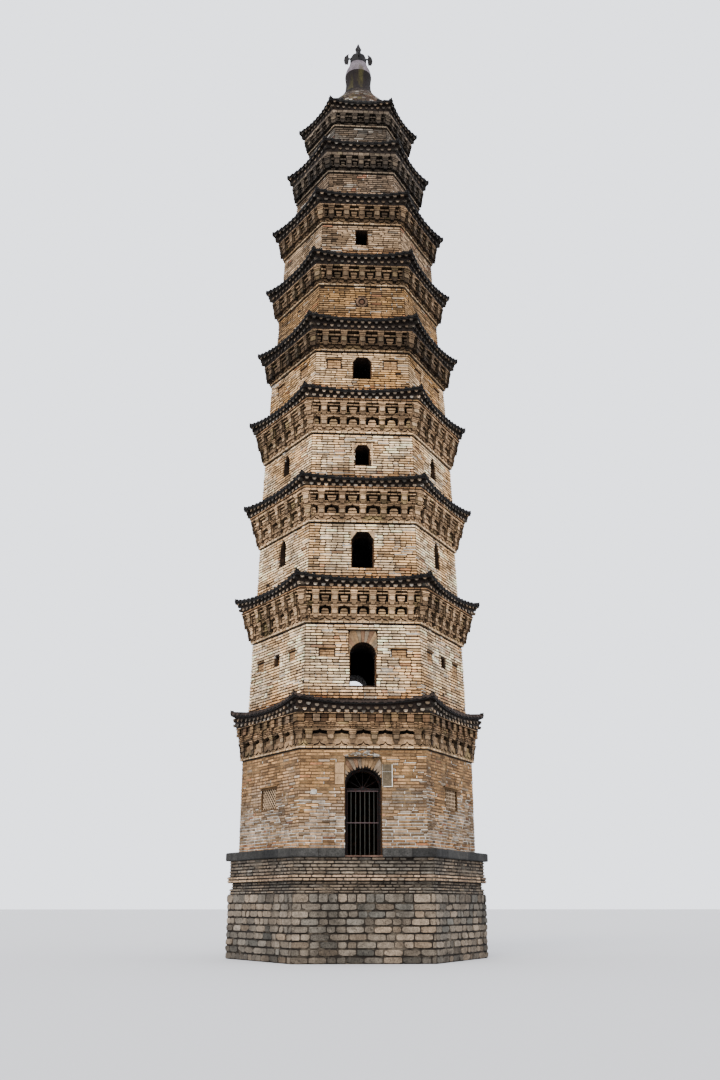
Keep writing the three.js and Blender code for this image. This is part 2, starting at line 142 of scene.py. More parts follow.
def mix(a, b, share):
    share = clamp(share)
    return tuple(x + (y - x) * share for x, y in zip(a, b))


def shade(colour, factor):
    return tuple(min(1.0, x * factor) for x in colour)


BEIGE, PALE, TAN, ORANGE = rgb("dcae7a"), rgb("f6d6ac"), rgb("b08450"), rgb("b3763c")
RED, GREY, DARK, LIME = rgb("8e5338"), rgb("a2988a"), rgb("5f4c38"), rgb("ece4d6")
# Painted shadow and shade: the first colour below is a near-black for plates and lines where shade falls, the
# second the eaves' underside.
SHADOW_DARK, SOFFIT_SHADE, STONE, SLAB = rgb("2a231c"), rgb("2c211a"), rgb("7c776d"), rgb("5b5a58")
TILE_GREY, LOWEST_TILE, MOSS, BELL_COAT = rgb("161311"), rgb("302722"), rgb("6f6a38"), rgb("1a1413")


def drift(x, y, z, scale, seed=0.0):
    """Slow variation from 0 to 1."""
    value = noise.fractal(Vector((x / scale + seed, y / scale, z / scale)), 0.6, 2.1, 4)
    return clamp(0.5 + 0.6 * value)


# Meshes


def circle(count):
    """Angles all the way round."""
    return [2 * math.pi * k / count for k in range(count)]


def arc(count, start=0.0, sweep=math.pi):
    """Angles from one end of an arc to the other."""
    return [start + sweep * k / count for k in range(count + 1)]


def polar(ends, x, z):
    """Points from their (angle, distance) round a centre."""
    return [(x + r * math.cos(a), z + r * math.sin(a)) for a, r in ends]


def sector(a0, a1, inner, outer, level):
    return polar(((a0, inner), (a0, outer), (a1, outer), (a1, inner)), 0, level)


def box(x0, x1, z0, z1):
    return [(x0, z0), (x1, z0), (x1, z1), (x0, z1)]


def taper(x, w0, w1, z0, z1):
    """An outline round x, of half width w0 at its foot and w1 at its top."""
    return [(x - w0, z0), (x + w0, z0), (x + w1, z1), (x - w1, z1)]


WALL_OUT = 2.5  # about how far out the walls are, where their drift is read


class Axes:
    """A vertical plane's own axes: x along it to the right as seen from outside, z up, and out."""

    def __init__(self, degrees):
        turn = math.radians(degrees)
        self.cos, self.sin = math.cos(turn), math.sin(turn)

    def place(self, x, z, out):
        return (x * self.cos + out * self.sin, x * self.sin - out * self.cos, z)

    def outline(self, points, out):
        return [self.place(x, z, out) for x, z in points]

    def patchy(self, x, level, scale, seed, out=WALL_OUT):
        """Drift over a wall's side."""
        return drift(*self.place(x, level, out), scale, seed)


SIDE_AXES = [Axes(60 * n) for n in range(SIDES)]
CORNER_AXES = [Axes(60 * n + 30) for n in range(SIDES)]
JAMB_AXES = {-1: Axes(90), 1: Axes(-90)}  # the left and right jambs of an opening in the front


class Shape:
    """Vertices and faces gathered for one mesh, with a tint for each face. Painted shade and grime darken a
    block's sides.
    """

    def __init__(self, grime_and_shade=1.0):
        self.verts, self.faces, self.tints = [], [], []
        self.grime_and_shade = grime_and_shade

    def add(self, verts, faces, tint, sides=0):
        """Adds faces, of which the first so many are sides, darkened as painted shade and grime."""
        start = len(self.verts)
        self.verts.extend(verts)
        self.faces.extend(tuple(start + i for i in face) for face in faces)
        self.tints.extend([shade(tint, self.grime_and_shade)] * sides + [tint] * (len(faces) - sides))

    def prism(self, axes, points, back, front, tint, bevel=0.0, closed_back=False):
        """A flat outline of (x, z) points, anticlockwise from outside, from out = back to out = front."""
        count = len(points)
        centre = [sum(p[k] for p in points) / count for k in (0, 1)]
        near = [[v - math.copysign(min(bevel, abs(v - c)), v - c) for v, c in zip(p, centre)] for p in points]
        faces = [(i, (i + 1) % count, count + (i + 1) % count, count + i) for i in range(count)]
        faces.append(tuple(range(count, 2 * count)))
        if closed_back:
            faces.append(tuple(reversed(range(count))))
        self.add(axes.outline(points, back) + axes.outline(near, front), faces, tint, count)

    def block(self, axes, x0, x1, z0, z1, back, front, tint, bevel=0.005, closed_back=False):
        self.prism(axes, box(x0, x1, z0, z1), back, front, tint, bevel, closed_back)

    def brick(self, axes, x0, x1, z0, z1, back, front, tint, wear=0.008, tilt=0.003):
        """A block with worn corners and a face that isn't quite true."""
        cx, cz = (x0 + x1) / 2, (z0 + z1) / 2
        lean_x, lean_z = (random.uniform(-tilt, tilt) / side for side in (x1 - x0, z1 - z0))
        edge = 0.003
        near = []
        for i, (x, z) in enumerate(box(x0, x1, z0, z1)):
            a = edge + random.uniform(0.2, 1.0) * min(wear * 1.8, (x1 - x0) * 0.3)
            b = edge + random.uniform(0.2, 1.0) * min(wear, (z1 - z0) * 0.35)
            dx, dz = math.copysign(1, cx - x), math.copysign(1, cz - z)
            along, up = (x + dx * a, z + dz * edge), (x + dx * edge, z + dz * b)
            near.extend((along, up) if i % 2 else (up, along))
        verts = axes.outline(box(x0, x1, z0, z1), back)
        verts += [axes.place(x, z, front + (x - cx) * lean_x + (z - cz) * lean_z) for x, z in near]
        faces = []
        for i in range(4):
            faces.append((i, (i + 1) % 4, 4 + 2 * ((i + 1) % 4), 5 + 2 * i))
            faces.append((i, 5 + 2 * i, 4 + 2 * i))
        # the eight side faces take the painted shade and grime
        self.add(verts, faces + [tuple(range(4, 12))], tint, 8)

    def loft(self, rings, tint, closed=True, caps=False):
        """Quads between rings of points. Closed rings going up are anticlockwise from above."""
        count, top = len(rings[0]), (len(rings) - 1) * len(rings[0])
        faces = []
        for r in range(0, top, count):
            for i in range(count if closed else count - 1):
                j = (i + 1) % count
                faces.append((r + i, r + j, r + count + j, r + count + i))
        if caps:
            faces += [tuple(reversed(range(count))), tuple(range(top, top + count))]
        self.add([p for ring in rings for p in ring], faces, tint)

    def turned(self, profile, segments, tint, lobes=0, depth=0.0):
        """A profile of (radius, level) points turned round the axis, with lobes if any."""
        rings = []
        for radius, level in profile:
            ends = [(a, radius * (1 - depth * abs(math.sin(lobes * a / 2)))) for a in circle(segments)]
            rings.append([(x, y, level) for x, y in polar(ends, 0, 0)])
        self.loft(rings, tint, caps=True)

    def rod(self, start, end, radius, tint, sides=8):
        """A round bar between two points."""
        a, b = Vector(start), Vector(end)
        along = (b - a).normalized()
        side = along.cross(Vector((0, 0, 1)) if abs(along.z) < 0.9 else Vector((0, 1, 0))).normalized()
        up = along.cross(side)
        rim = [radius * (side * math.cos(t) + up * math.sin(t)) for t in circle(sides)]
        self.loft([[tuple(p + r) for r in rim] for p in (a, b)], tint, caps=True)

    def make(self, name, material, slot, replaces=(), body="tower", smooth=0):
        mesh = bpy.data.meshes.new(name)
        mesh.from_pydata(self.verts, [], self.faces)
        tint = mesh.attributes.new("tint", "FLOAT_COLOR", "FACE")
        tint.data.foreach_set("color", [c for t in self.tints for c in (*t, 1.0)])
        mesh.validate()
        if smooth:
            mesh.shade_smooth()
            mesh.set_sharp_from_angle(angle=math.radians(smooth))
        piece = bpy.data.objects.new(name, mesh)
        bpy.context.scene.collection.objects.link(piece)
        mesh.materials.append(material)
        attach(piece, body)
        if replaces:
            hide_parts(*replaces)


# Materials


class Nodes:
    """A new material's nodes. Noise is told as its (scale, detail, roughness, stretch)."""

    def __init__(self, name):
        self.material = bpy.data.materials.new(name)
        self.material.use_nodes = True
        self.tree = self.material.node_tree
        self.shader = self.tree.nodes["Principled BSDF"]
        self.fill(self.shader, {"Specular IOR Level": 0.15})
        self.where = self.new("TexCoord").outputs["Object"]

    def fill(self, node, values):
        """Links each value that is a socket to the node's input, and copies any other."""
        for name, value in values.items():
            if isinstance(value, bpy.types.NodeSocket):
                self.tree.links.new(value, node.inputs[name])
            else:
                node.inputs[name].default_value = (*value, 1.0) if isinstance(value, tuple) else value

    def new(self, kind, values=()):
        node = self.tree.nodes.new("ShaderNode" + kind)
        self.fill(node, dict(values))
        return node

    def noise(self, scale, detail=4.0, rough=0.55, stretch=None):
        """Noise, which runs in streaks where stretch divides its scale along each axis."""
        where = self.where
        if stretch:
            values = {"Scale": [1 / s for s in stretch], "Vector": where}
            where = self.new("Mapping", values).outputs["Vector"]
        values = {"Scale": scale, "Detail": detail, "Roughness": rough, "Vector": where}
        return self.new("TexNoise", values).outputs["Fac"]

    def off_axis(self):
        """The distance from the tower's axis."""
        flat = self.new("VectorMath", {0: self.where, 1: [1, 1, 0]})
        flat.operation = "MULTIPLY"
        length = self.new("VectorMath", {0: flat.outputs["Vector"]})
        length.operation = "LENGTH"
        return length.outputs["Value"]

    def ramp(self, source, *stops, low=0.0, high=1.0):
        """Two colours or numbers at places from 0 to 1 between the source's low and high."""
        if (low, high) != (0.0, 1.0):
            values = {"From Min": low, "From Max": high, "Value": source}
            source = self.new("MapRange", values).outputs["Result"]
        node = self.new("ValToRGB", {"Fac": source})
        for element, (place, colour) in zip(node.color_ramp.elements, stops):
            element.position = place
            element.color = (*(colour if isinstance(colour, tuple) else [colour] * 3), 1.0)
        return node.outputs["Color"]

    def blend(self, mode, factor, a, b):
        node = self.new("Mix")
        node.data_type, node.blend_type = "RGBA", mode
        self.fill(node, {"Factor": factor, 6: a, 7: b})
        return node.outputs[2]

    def times(self, a, b):
        return self.blend("MULTIPLY", 1.0, a, b)

    def fleck(self, colour, noise, *stops):
        """A colour, darkened and lightened by noise."""
        return self.times(colour, self.ramp(self.noise(*noise), *stops))

    def tint(self):
        node = self.new("Attribute")
        node.attribute_name = "tint"
        return node.outputs["Color"]

    def bump(self, noise, strength, distance):
        values = {"Strength": strength, "Distance": distance, "Height": self.noise(*noise)}
        self.fill(self.shader, {"Normal": self.new("Bump", values).outputs["Normal"]})

    def finish(self, colour, roughness, metallic=0.0):
        self.fill(self.shader, {"Base Color": colour, "Roughness": roughness, "Metallic": metallic})
        return self.material


def tinted_masonry(name, grain=0.35, streaks=0.35, pits=0.5):
    """Fired clay or stone whose colour comes from each face's tint, with grain, pits and rain streaks."""
    m = Nodes(name)
    fine = m.noise(60, 5)
    colour = m.times(m.tint(), m.ramp(fine, (0.32, 1 - grain), (0.62, 1.2)))
    colour = m.fleck(colour, (1.6, 6, 0.55, (1, 1, 7)), (0.38, 1 - streaks), (0.56, 1.0))
    colour = m.fleck(colour, (9, 5), (0.35, 0.72), (0.62, 1.18))
    colour = m.fleck(colour, (26, 3, 0.6), (0.3, 1 - pits), (0.42, 1.0))
    m.bump((90, 6, 0.65), 0.6, 0.007)
    return m.finish(colour, m.ramp(fine, (0.3, 0.98), (0.7, 0.82)))


def mortar(name, dark, light, worn=0.5, inside=False):
    """Earth and lime in the joints: dark where it has washed out, pale where it is left, and darker towards
    the tower's axis.
    """
    m = Nodes(name)
    left = m.ramp(m.noise(2.2, 6, 0.7), (worn, rgb(dark)), (worn + 0.14, rgb(light)))
    colour = m.fleck(left, (70, 4), (0.3, 0.6), (0.7, 1.1))
    if inside:
        # darker the nearer the tower's axis, within 1.82 m of it
        colour = m.times(colour, m.ramp(m.off_axis(), (0.0, 0.12), (1.0, 1.0), low=1.5, high=1.82))
    m.bump((60, 6, 0.7), 0.8, 0.012)
    return m.finish(colour, 0.95)


def tile_clay(name):
    """Unglazed dark grey tile with lichen and dust."""
    m = Nodes(name)
    base = m.fleck(m.tint(), (25, 6, 0.65), (0.3, 0.45), (0.7, 1.3))
    lichen = m.ramp(m.noise(14, 8, 0.7), (0.64, 0.0), (0.78, 0.3))
    colour = m.blend("MIX", lichen, base, rgb("66604e"))
    m.bump((70, 6, 0.65), 0.5, 0.005)
    return m.finish(colour, m.ramp(m.noise(30), (0.3, 0.95), (0.7, 0.75)))


def render_coat(name):
    """Old lime render, with moss that has run down from the joint under the collar."""
    m = Nodes(name)
    base = m.fleck(m.tint(), (12, 7, 0.65), (0.3, 0.5), (0.68, 1.25))
    runs = m.ramp(m.noise(4.5, 6, stretch=(1, 1, 8)), (0.52, 0.0), (0.66, 0.7))
    moss = m.ramp(m.noise(30, 5), (0.3, rgb("27230f")), (0.7, rgb("4a4522")))
    m.bump((40, 6, 0.7), 0.6, 0.01)
    return m.finish(m.blend("MIX", runs, base, moss), 0.92)


def iron(name, rust, share):
    """Old iron or dull paint on it, in each face's tint, with rust in patches."""
    m = Nodes(name)
    patches = m.noise(35, 7, 0.7)
    colour = m.blend("MIX", m.ramp(patches, (share, 0.0), (share + 0.12, 0.8)), m.tint(), rgb(rust))
    m.bump((120, 5, 0.6), 0.35, 0.002)
    return m.finish(colour, m.ramp(patches, (0.4, 0.55), (0.65, 0.85)), metallic=0.1)


BRICK = tinted_masonry("brick")
CORNICE = tinted_masonry("cornice_brick", 0.45, 0.45)
STONES = tinted_masonry("base_stone", 0.55, 0.4, 0.65)
WALL_MORTAR = mortar("wall_mortar", "231810", "4a3625", 0.52, inside=True)
GROUND_MORTAR = mortar("ground_wall_mortar", "59442f", "89704f", inside=True)
HIGH_MORTAR = mortar("high_wall_mortar", "281e16", "4d3e2e", 0.52)
# A near-black mortar, painted shade for the cornices' hollows, also used in the finial foot's joints.
CORNICE_SHADE_MORTAR = mortar("cornice_shade_mortar", "140f0b", "2a2018")
BASE_MORTAR = mortar("base_mortar", "221d18", "5a5145")
TILE = tile_clay("roof_tile")
RENDER = render_coat("finial_render")
IRON = iron("finial_iron", "3a2a22", 0.56)
GATE_PAINT = iron("gate_paint", "5b2f22", 0.54)

# Masonry

# Painted shade and grime on the sides of the wall, doorway and base bricks.
GRIME_AND_SHADE = 0.4  # how much of a brick's colour is left on its edges
SHORTEST, LEAST = 0.05, 0.03  # the shortest brick at a course's end, and beside an opening
BEDDED = 0.01  # how far a brick goes into the mortar

# How masonry is laid: the sizes of its bricks, bed and upright joints, how far faces stand out of the mortar,
# the wear of their corners, the share of headers and how far from true a face is.
Laying = namedtuple("Laying", "course stretcher header bed joint proud wear headers tilt", defaults=[0.003])
BRICKWORK = Laying(0.07, 0.285, 0.14, 0.023, 0.010, 0.024, 0.016, 0.45)
GROUND_BRICKWORK = Laying(0.07, 0.285, 0.14, 0.020, 0.012, 0.013, 0.014, 0.4)
FINE_BRICKWORK = Laying(0.062, 0.27, 0.13, 0.010, 0.006, 0.010, 0.006, 0.5)
ASHLAR = Laying(0.165, 0.40, 0.21, 0.032, 0.02, 0.02, 0.055, 0.4, 0.022)
ROUGH_COURSES = Laying(0.075, 0.30, 0.15, 0.026, 0.016, 0.02, 0.028, 0.4, 0.012)


class Opening:
    """What a window, niche or door takes out of a wall's face."""

    def __init__(self, width, sill, crown, head="flat", centre=0.0, panel=None, cut=(0.0, 0.0)):
        self.width, self.sill, self.crown, self.head = width, sill, crown, head
        self.half = width / 2
        self.centre, self.left, self.right = centre, centre - width / 2, centre + width / 2
        self.panel = panel  # (width, bottom, top) of a sunk panel round the head
        self.cut = cut  # how far across and down a cut head's corners go

    def half_width(self, level):
        """Half the opening's width at a level, or 0 outside it."""
        if not self.sill <= level <= self.crown:
            return 0.0
        if self.head == "round" and level > self.crown - self.half:
            return math.sqrt(max(0.0, self.half**2 - (level - self.crown + self.half) ** 2))
        across, down = self.cut
        if self.head == "cut" and level > self.crown - down:
            return self.half - across * (level - self.crown + down) / down
        return self.half

    def span(self, low, high):
        """The stretch of a course from low to high that is left out, or None."""
        half = max(self.half_width(low + 0.2 * (high - low)), self.half_width((low + high) / 2))
        if self.panel:
            width, bottom, top = self.panel
            if bottom <= (low + high) / 2 <= top:
                half = max(half, width / 2)
        return (self.centre - half, self.centre + half) if half > 0 else None


def left_over(start, end, spans):
    """What is left of a stretch when the spans are taken out of it."""
    left = [(start, end)]
    for low, high in spans:
        kept = []
        for a, b in left:
            pieces = ((a, min(b, low)), (max(a, high), b)) if low < b and high > a else ((a, b),)
            kept.extend(piece for piece in pieces if piece[1] - piece[0] > LEAST)
        left = kept
    return left


def lay_course(shape, axes, low, high, start, end, out, tint_of, laying, openings, row, sunk, pointing):
    """One course along a plane from x = start to x = end, its face standing proud of out."""
    spans = [span for opening in openings if (span := opening.span(low, high))]
    level = (low + high) / 2
    x = start
    length = (laying.header if row % 2 else laying.stretcher) * random.uniform(0.75, 1.0)
    while x < end - 0.02:
        stop = min(end, x + length)
        if end - stop < SHORTEST:
            stop = end
        for a, b in left_over(x, stop, spans):
            middle = (a + b) / 2
            gone = sunk(middle, level) if sunk else 0.0
            if b - a < 0.16 and random.random() < 0.004 + 0.02 * gone:
                continue
            proud = laying.proud * (1 - 0.75 * gone) + random.uniform(-0.004, 0.004)
            left = a if a == start else a + laying.joint / 2
            right = b if b == end else b - laying.joint / 2
            drop = random.uniform(-0.002, 0.002)
            z0, z1 = low + laying.bed / 2 + drop, high - laying.bed / 2 + drop
            shape.brick(axes, left, right, z0, z1, out - BEDDED, out + max(0.002, proud),
                        tint_of(middle, level), laying.wear * (1 + gone), laying.tilt)
            if pointing:
                point(pointing, axes, a, b, low, high, out, laying, b < end)
        x = stop
        length = laying.header if random.random() < laying.headers else laying.stretcher
        length *= random.uniform(0.93, 1.05)


def point(pointing, axes, a, b, low, high, out, laying, upright):
    """What is left of the lime round one brick: at its end, and now and then along its top."""
    lime, share_of = pointing
    share = share_of((a + b) / 2, high)
    tint = shade(LIME, random.uniform(0.5, 1.0))
    bed, joint = laying.bed / 2, laying.joint / 2 + 0.002
    if upright and random.random() < 0.1 + 0.5 * share:
        front = out + laying.proud * random.uniform(0.3, 0.9)
        lime.block(axes, b - joint, b + joint, low + bed, high - bed, out - BEDDED, front, tint, 0.001)
    if random.random() < share:
        front = out + laying.proud * random.uniform(0.4, 1.1)
        top = high + bed * random.uniform(0, 0.6)
        lime.block(axes, a, b, high - bed, top, out - BEDDED, front, tint, 0.002)


def lay_wall(shape, axes, low, high, out_at, tint_of, laying, openings=(), sunk=None, limits=None,
             pointing=None):
    """Courses over one side, whose face is at out_at(level) and ends at the mitres or at the limits."""
    for row, (z0, z1) in enumerate(parts(low, high, max(1, round((high - low) / laying.course)))):
        out = out_at((z0 + z1) / 2) if callable(out_at) else out_at
        half = (out + laying.proud * 0.5) * HALF
        start, end = limits or (-half, half)
        lay_course(shape, axes, z0, z1, start, end, out, tint_of, laying, openings, row, sunk, pointing)


# Walls

WINDOWS = {
    2: Opening(0.62, 5.99, 7.03, "round", panel=(0.68, 6.72, 7.31)),
    3: Opening(0.54, 8.88, 9.81, "cut", cut=(0.135, 0.2)),
    4: Opening(0.38, 11.60, 12.13, "cut", cut=(0.075, 0.11)),
    5: Opening(0.48, 14.03, 14.67, "cut", cut=(0.1, 0.13)),
    7: Opening(0.34, 18.24, 18.73),
}
SIDE_NICHES = {
    2: Opening(0.26, 6.64, 6.93),
    3: Opening(0.30, 9.24, 9.93, "cut", cut=(0.12, 0.21)),
    4: Opening(0.30, 11.69, 12.28, "cut", cut=(0.12, 0.21)),
}
NICHE_DEPTHS = {2: 0.12, 3: 0.2, 4: 0.2}
DOOR_SPRING = DOOR_CROWN - DOOR_WIDTH / 2
DOOR = Opening(DOOR_WIDTH, FLOOR, DOOR_CROWN, "round", panel=(DOOR_WIDTH, DOOR_SPRING, DOOR_PANEL_TOP))
LATTICE = Opening(0.74, 3.26, 3.76)
LATTICE_DEPTH = 0.09
DIAGONALS, DIAGONAL_PITCH = 17, 0.105
UPRIGHT_GAPS, LEVEL_GAPS = 8, 6  # between the bars of a square lattice
WINDOW_VOUSSOIRS, DOOR_VOUSSOIRS = 17, 21
LIME_DAUBS = 70  # over the door
# Sunk brick panels by (storey, whether on the front and back): (centre, half width, bottom, top)
PANELS = {
    (2, True): [(x, 0.19, 6.65, 6.86) for x in (-0.845, 0.845)],
    (2, False): [(-0.82, 0.16, 6.64, 6.90), (0.76, 0.15, 6.65, 6.90)],
    (5, True): [(x, 0.19, 14.35, 14.60) for x in (-0.73, 0.73)],
    (5, False): [(x, 0.18, 14.35, 14.60) for x in (-0.62, 0.62)],
}
ROUNDEL = Opening(0.32, 16.25, 16.57, "round")
SLOT = Opening(0.16, 23.0, 23.05, centre=0.42)
PATCHES = [Opening(0.22, 3.73, 4.22, centre=-0.535), Opening(0.24, 3.69, 4.18, centre=0.54)]

# Each storey's usual brick, its warmer second colour, and how much of that shows.
WALL_COLOURS = {
    1: (shade(mix(mix(BEIGE, GREY, 0.6), RED, 0.12), 0.62), shade(mix(TAN, GREY, 0.3), 0.85), 0.25),
    2: (PALE, BEIGE, 0.35),
    3: (PALE, BEIGE, 0.5),
    4: (PALE, BEIGE, 0.55),
    5: (shade(mix(PALE, BEIGE, 0.6), 0.85), TAN, 0.25),
    6: (shade(mix(mix(TAN, BEIGE, 0.25), GREY, 0.15), 0.59), mix(TAN, DARK, 0.3), 0.3),
    7: (shade(mix(BEIGE, GREY, 0.4), 0.8), DARK, 0.25),
    8: (shade(mix(mix(TAN, GREY, 0.6), RED, 0.1), 0.68), DARK, 0.4),
    9: (shade(GREY, 0.3), shade(mix(DARK, GREY, 0.2), 0.62), 0.5),
}
ERODED = shade(mix(mix(TAN, ORANGE, 0.2), GREY, 0.1), 0.88)
POINTED = {2: 0.12, 3: 0.1, 4: 0.1, 5: 0.1, 6: 0.01, 7: 0.05, 8: 0.02, 9: 0.01}


class Wall:
    """One side of a storey: its face, and the wear, lime and colour of its bricks at a place."""

    def __init__(self, number, axes):
        self.number, self.axes = number, axes
        self.foot, self.top = wall_foot(number), storey(number).ledge

    def out(self, level):
        return wall_out(self.number, level)

    def patchy(self, x, level, scale, seed):
        return self.axes.patchy(x, level, scale, seed + self.number)

    def height(self, level):
        return (level - self.foot) / (self.top - self.foot)

    def worn(self, x, level):
        """How far the bricks have weathered back, from 0 to 1."""
        slow, height = self.patchy(x, level, 0.55, 70), self.height(level)
        if self.number == 1:
            return clamp((height - 0.5) * 1.6 + (slow - 0.45) * 2.5)
        return clamp((slow - 0.55) * 3 + max(0.0, 0.25 - height) * 2)

    def pointed(self, x, level):
        """How much of the bricks' pointing is left."""
        slow = self.patchy(x, level, 0.8, 90)
        if self.number == 1:
            limed = clamp((0.52 - self.height(level)) * 6 + (slow - 0.5) * 4)
            return (0.03 + 0.9 * limed) * (1 - 0.8 * self.stain(x, level))
        return POINTED[self.number] * max(0.0, 2.6 * slow - 0.6)

    def stain(self, x, level):
        """How grey the ground storey is, by a dark patch to the right of the door."""
        across = self.axes.place(x, level, WALL_OUT)[0]
        return clamp(1.3 - ((across - 1.0) / 0.5) ** 2 - ((level - 3.42) / 0.32) ** 2)

    def tint(self, x, level):
        usual, second, share = WALL_COLOURS[self.number]
        slow = self.patchy(x, level, 0.9, 0)
        colour = mix(usual, second, (slow - 0.5) * 2.2 + share)
        if self.number == 1:
            colour = self.ground_tint(colour, slow, x, level)
        else:
            splash = 1 - (level - self.foot - 0.06) / 0.32
            colour = mix(colour, mix(ORANGE, DARK, 0.25), (0.8 if self.number < 8 else 0.4) * splash)
        colour = mix(colour, DARK, 1.6 * (self.patchy(x, level, 0.35, 40) - 0.66))
        if random.random() < 0.07:
            colour = mix(colour, random.choice((RED, DARK, GREY)), 0.55)
        return shade(colour, random.uniform(0.42, 1.43))

    def ground_tint(self, colour, slow, x, level):
        """The ground storey's colour: warmer high up and to the right, in bands, and orange at its foot."""
        place = self.axes.place(x, level, WALL_OUT)
        warm = (level - self.foot - 1.1) * 1.6 + (slow - 0.5) * 2.4 + 0.5 * clamp(place[0])
        colour = shade(mix(colour, ERODED, 0.9 * clamp(warm)), 1 - 0.2 * clamp(1.5 * place[0]))
        colour = shade(colour, 0.72 + 0.56 * drift(place[0] * 0.25, place[1] * 0.25, level * 2.5, 0.35, 13))
        colour = mix(colour, shade(GREY, 0.4), 0.8 * self.stain(x, level))
        return mix(colour, ORANGE, 0.35) if level < COPING_TOP + 0.16 else colour


def arch_tint():
    colour = mix(random.choice((TAN, RED, GREY, BEIGE, mix(MOSS, GREY, 0.6))), mix(BEIGE, GREY, 0.4), 0.5)
    return shade(mix(colour, DARK, 0.3), random.uniform(0.36, 0.62))


def voussoirs(shape, axes, radius, spring, half, top, back, front, count, ragged=0.0):
    """Bricks on edge round an arch, out to a panel's edges, with washed-out joints at a ragged soffit, each
    backed by a black plate of painted shadow.
    """
    spread = math.pi * 0.475 / count
    for i in range(count):
        middle = math.pi * (i + 0.5) / count
        inner = radius + random.uniform(-0.002, ragged)
        neck = inner + (random.uniform(0.05, 0.09) if ragged else 0.006)
        ends = []
        for turn, distance in ((-0.4, inner), (-1, neck), (-1, None), (1, None), (1, neck), (0.4, inner)):
            angle = middle + turn * spread
            reach = min(half / max(abs(math.cos(angle)), 1e-6), (top - spring) / math.sin(angle))
            ends.append((angle, min(distance, reach - 0.004) if distance else reach))
        shape.prism(axes, polar(ends, 0, spring), back, front - random.uniform(0, 0.006), arch_tint(), 0.002)
        if ragged:
            # a black plate of painted shadow in each washed-out joint
            hollow = sector(middle - 2 * spread, middle, radius + 0.004, neck, spring)
            shape.prism(axes, hollow, back, front - 0.013, shade(SHADOW_DARK, 0.2))


def panel(shape, axes, number, centre, half, bottom, top):
    """A sunk brick panel under a thin drip course, painted dark as a shadow line."""
    out = wall_out(number, (bottom + top) / 2)
    for row, (z0, z1) in enumerate(parts(bottom, top, 3)):
        cut = centre + random.uniform(-0.5, 0.5) * half
        for a, b in ((centre - half + 0.025, cut - 0.004), (cut + 0.004, centre + half - 0.02)):
            tint = shade(mix(mix(BEIGE, TAN, random.uniform(0.0, 0.6)), RED, 0.15), random.uniform(0.4, 0.65))
            z2 = z1 - (0.03 if row == 2 else 0.006)
            shape.brick(axes, a, b, z0 + 0.006, z2, out - BEDDED, out + 0.005, tint)
    # painted shadow: the drip course is dark
    drip = shade(mix(TAN, DARK, 0.6), 0.5)
    shape.block(axes, centre - half - 0.03, centre + half + 0.03, top, top + 0.04, out, out + 0.032, drip)


def jambs(shape, front, half, low, high, out, inside, light):
    """The bricks of an opening's two jambs, in from the wall's face."""
    def tint(x, level):
        return shade(mix(mix(TAN, RED, 0.5), DARK, random.uniform(0.1, 0.7)), light)

    for side in (-1, 1):
        limits = sorted((side * out, side * inside))
        lay_wall(shape, JAMB_AXES[side * front], low, high, -half, tint, FINE_BRICKWORK, limits=limits)


def window_dressing(shape, axes, number, opening):
    """The jambs' bricks, and an arch or a thin frame round the head."""
    out = wall_out(number, opening.sill)
    half, crown = opening.half, opening.crown
    across, down = opening.cut
    top = crown - (half if opening.head == "round" else down)
    front = 1 if axes is SIDE_AXES[0] else -1
    jambs(shape, front, half, opening.sill, top, out - 0.005, out - 0.365, 0.6)
    if opening.panel:
        width, bottom, top = opening.panel
        face = wall_out(number, bottom)
        front = face - PANEL_DEPTH + 0.022
        voussoirs(shape, axes, half, bottom, width / 2 - 0.004, top, face - 0.35, front, WINDOW_VOUSSOIRS)
        # a thin course over the sunk panel, painted dark as a shadow line
        shape.block(axes, -width / 2 - 0.3, width / 2 + 0.02, top, top + 0.03, face - 0.04, face + 0.03,
                    shade(DARK, 0.4))
    if opening.head == "cut":
        corner = [(half - across, crown), (half, crown - down), (half + 0.02, crown - down),
                  (half + 0.02, crown + 0.01), (half - across, crown + 0.01)]
        for side in (-1, 1):
            points = [(x * side, z) for x, z in corner][::side]
            shape.prism(axes, points, out - 0.1, out + 0.012, shade(mix(BEIGE, GREY, 0.4), 0.6))
    if number == 4:
        tint = shade(mix(PALE, TAN, 0.4), 0.9)
        edge = half + 0.035
        for x0, x1 in ((-edge - 0.035, -edge), (edge, edge + 0.035)):
            shape.block(axes, x0, x1, opening.sill - 0.03, crown + 0.06, out - 0.02, out + 0.034, tint)
        shape.block(axes, -edge - 0.09, edge + 0.09, crown + 0.09, crown + 0.125, out - 0.04, out + 0.036,
                    shade(tint, 0.7))


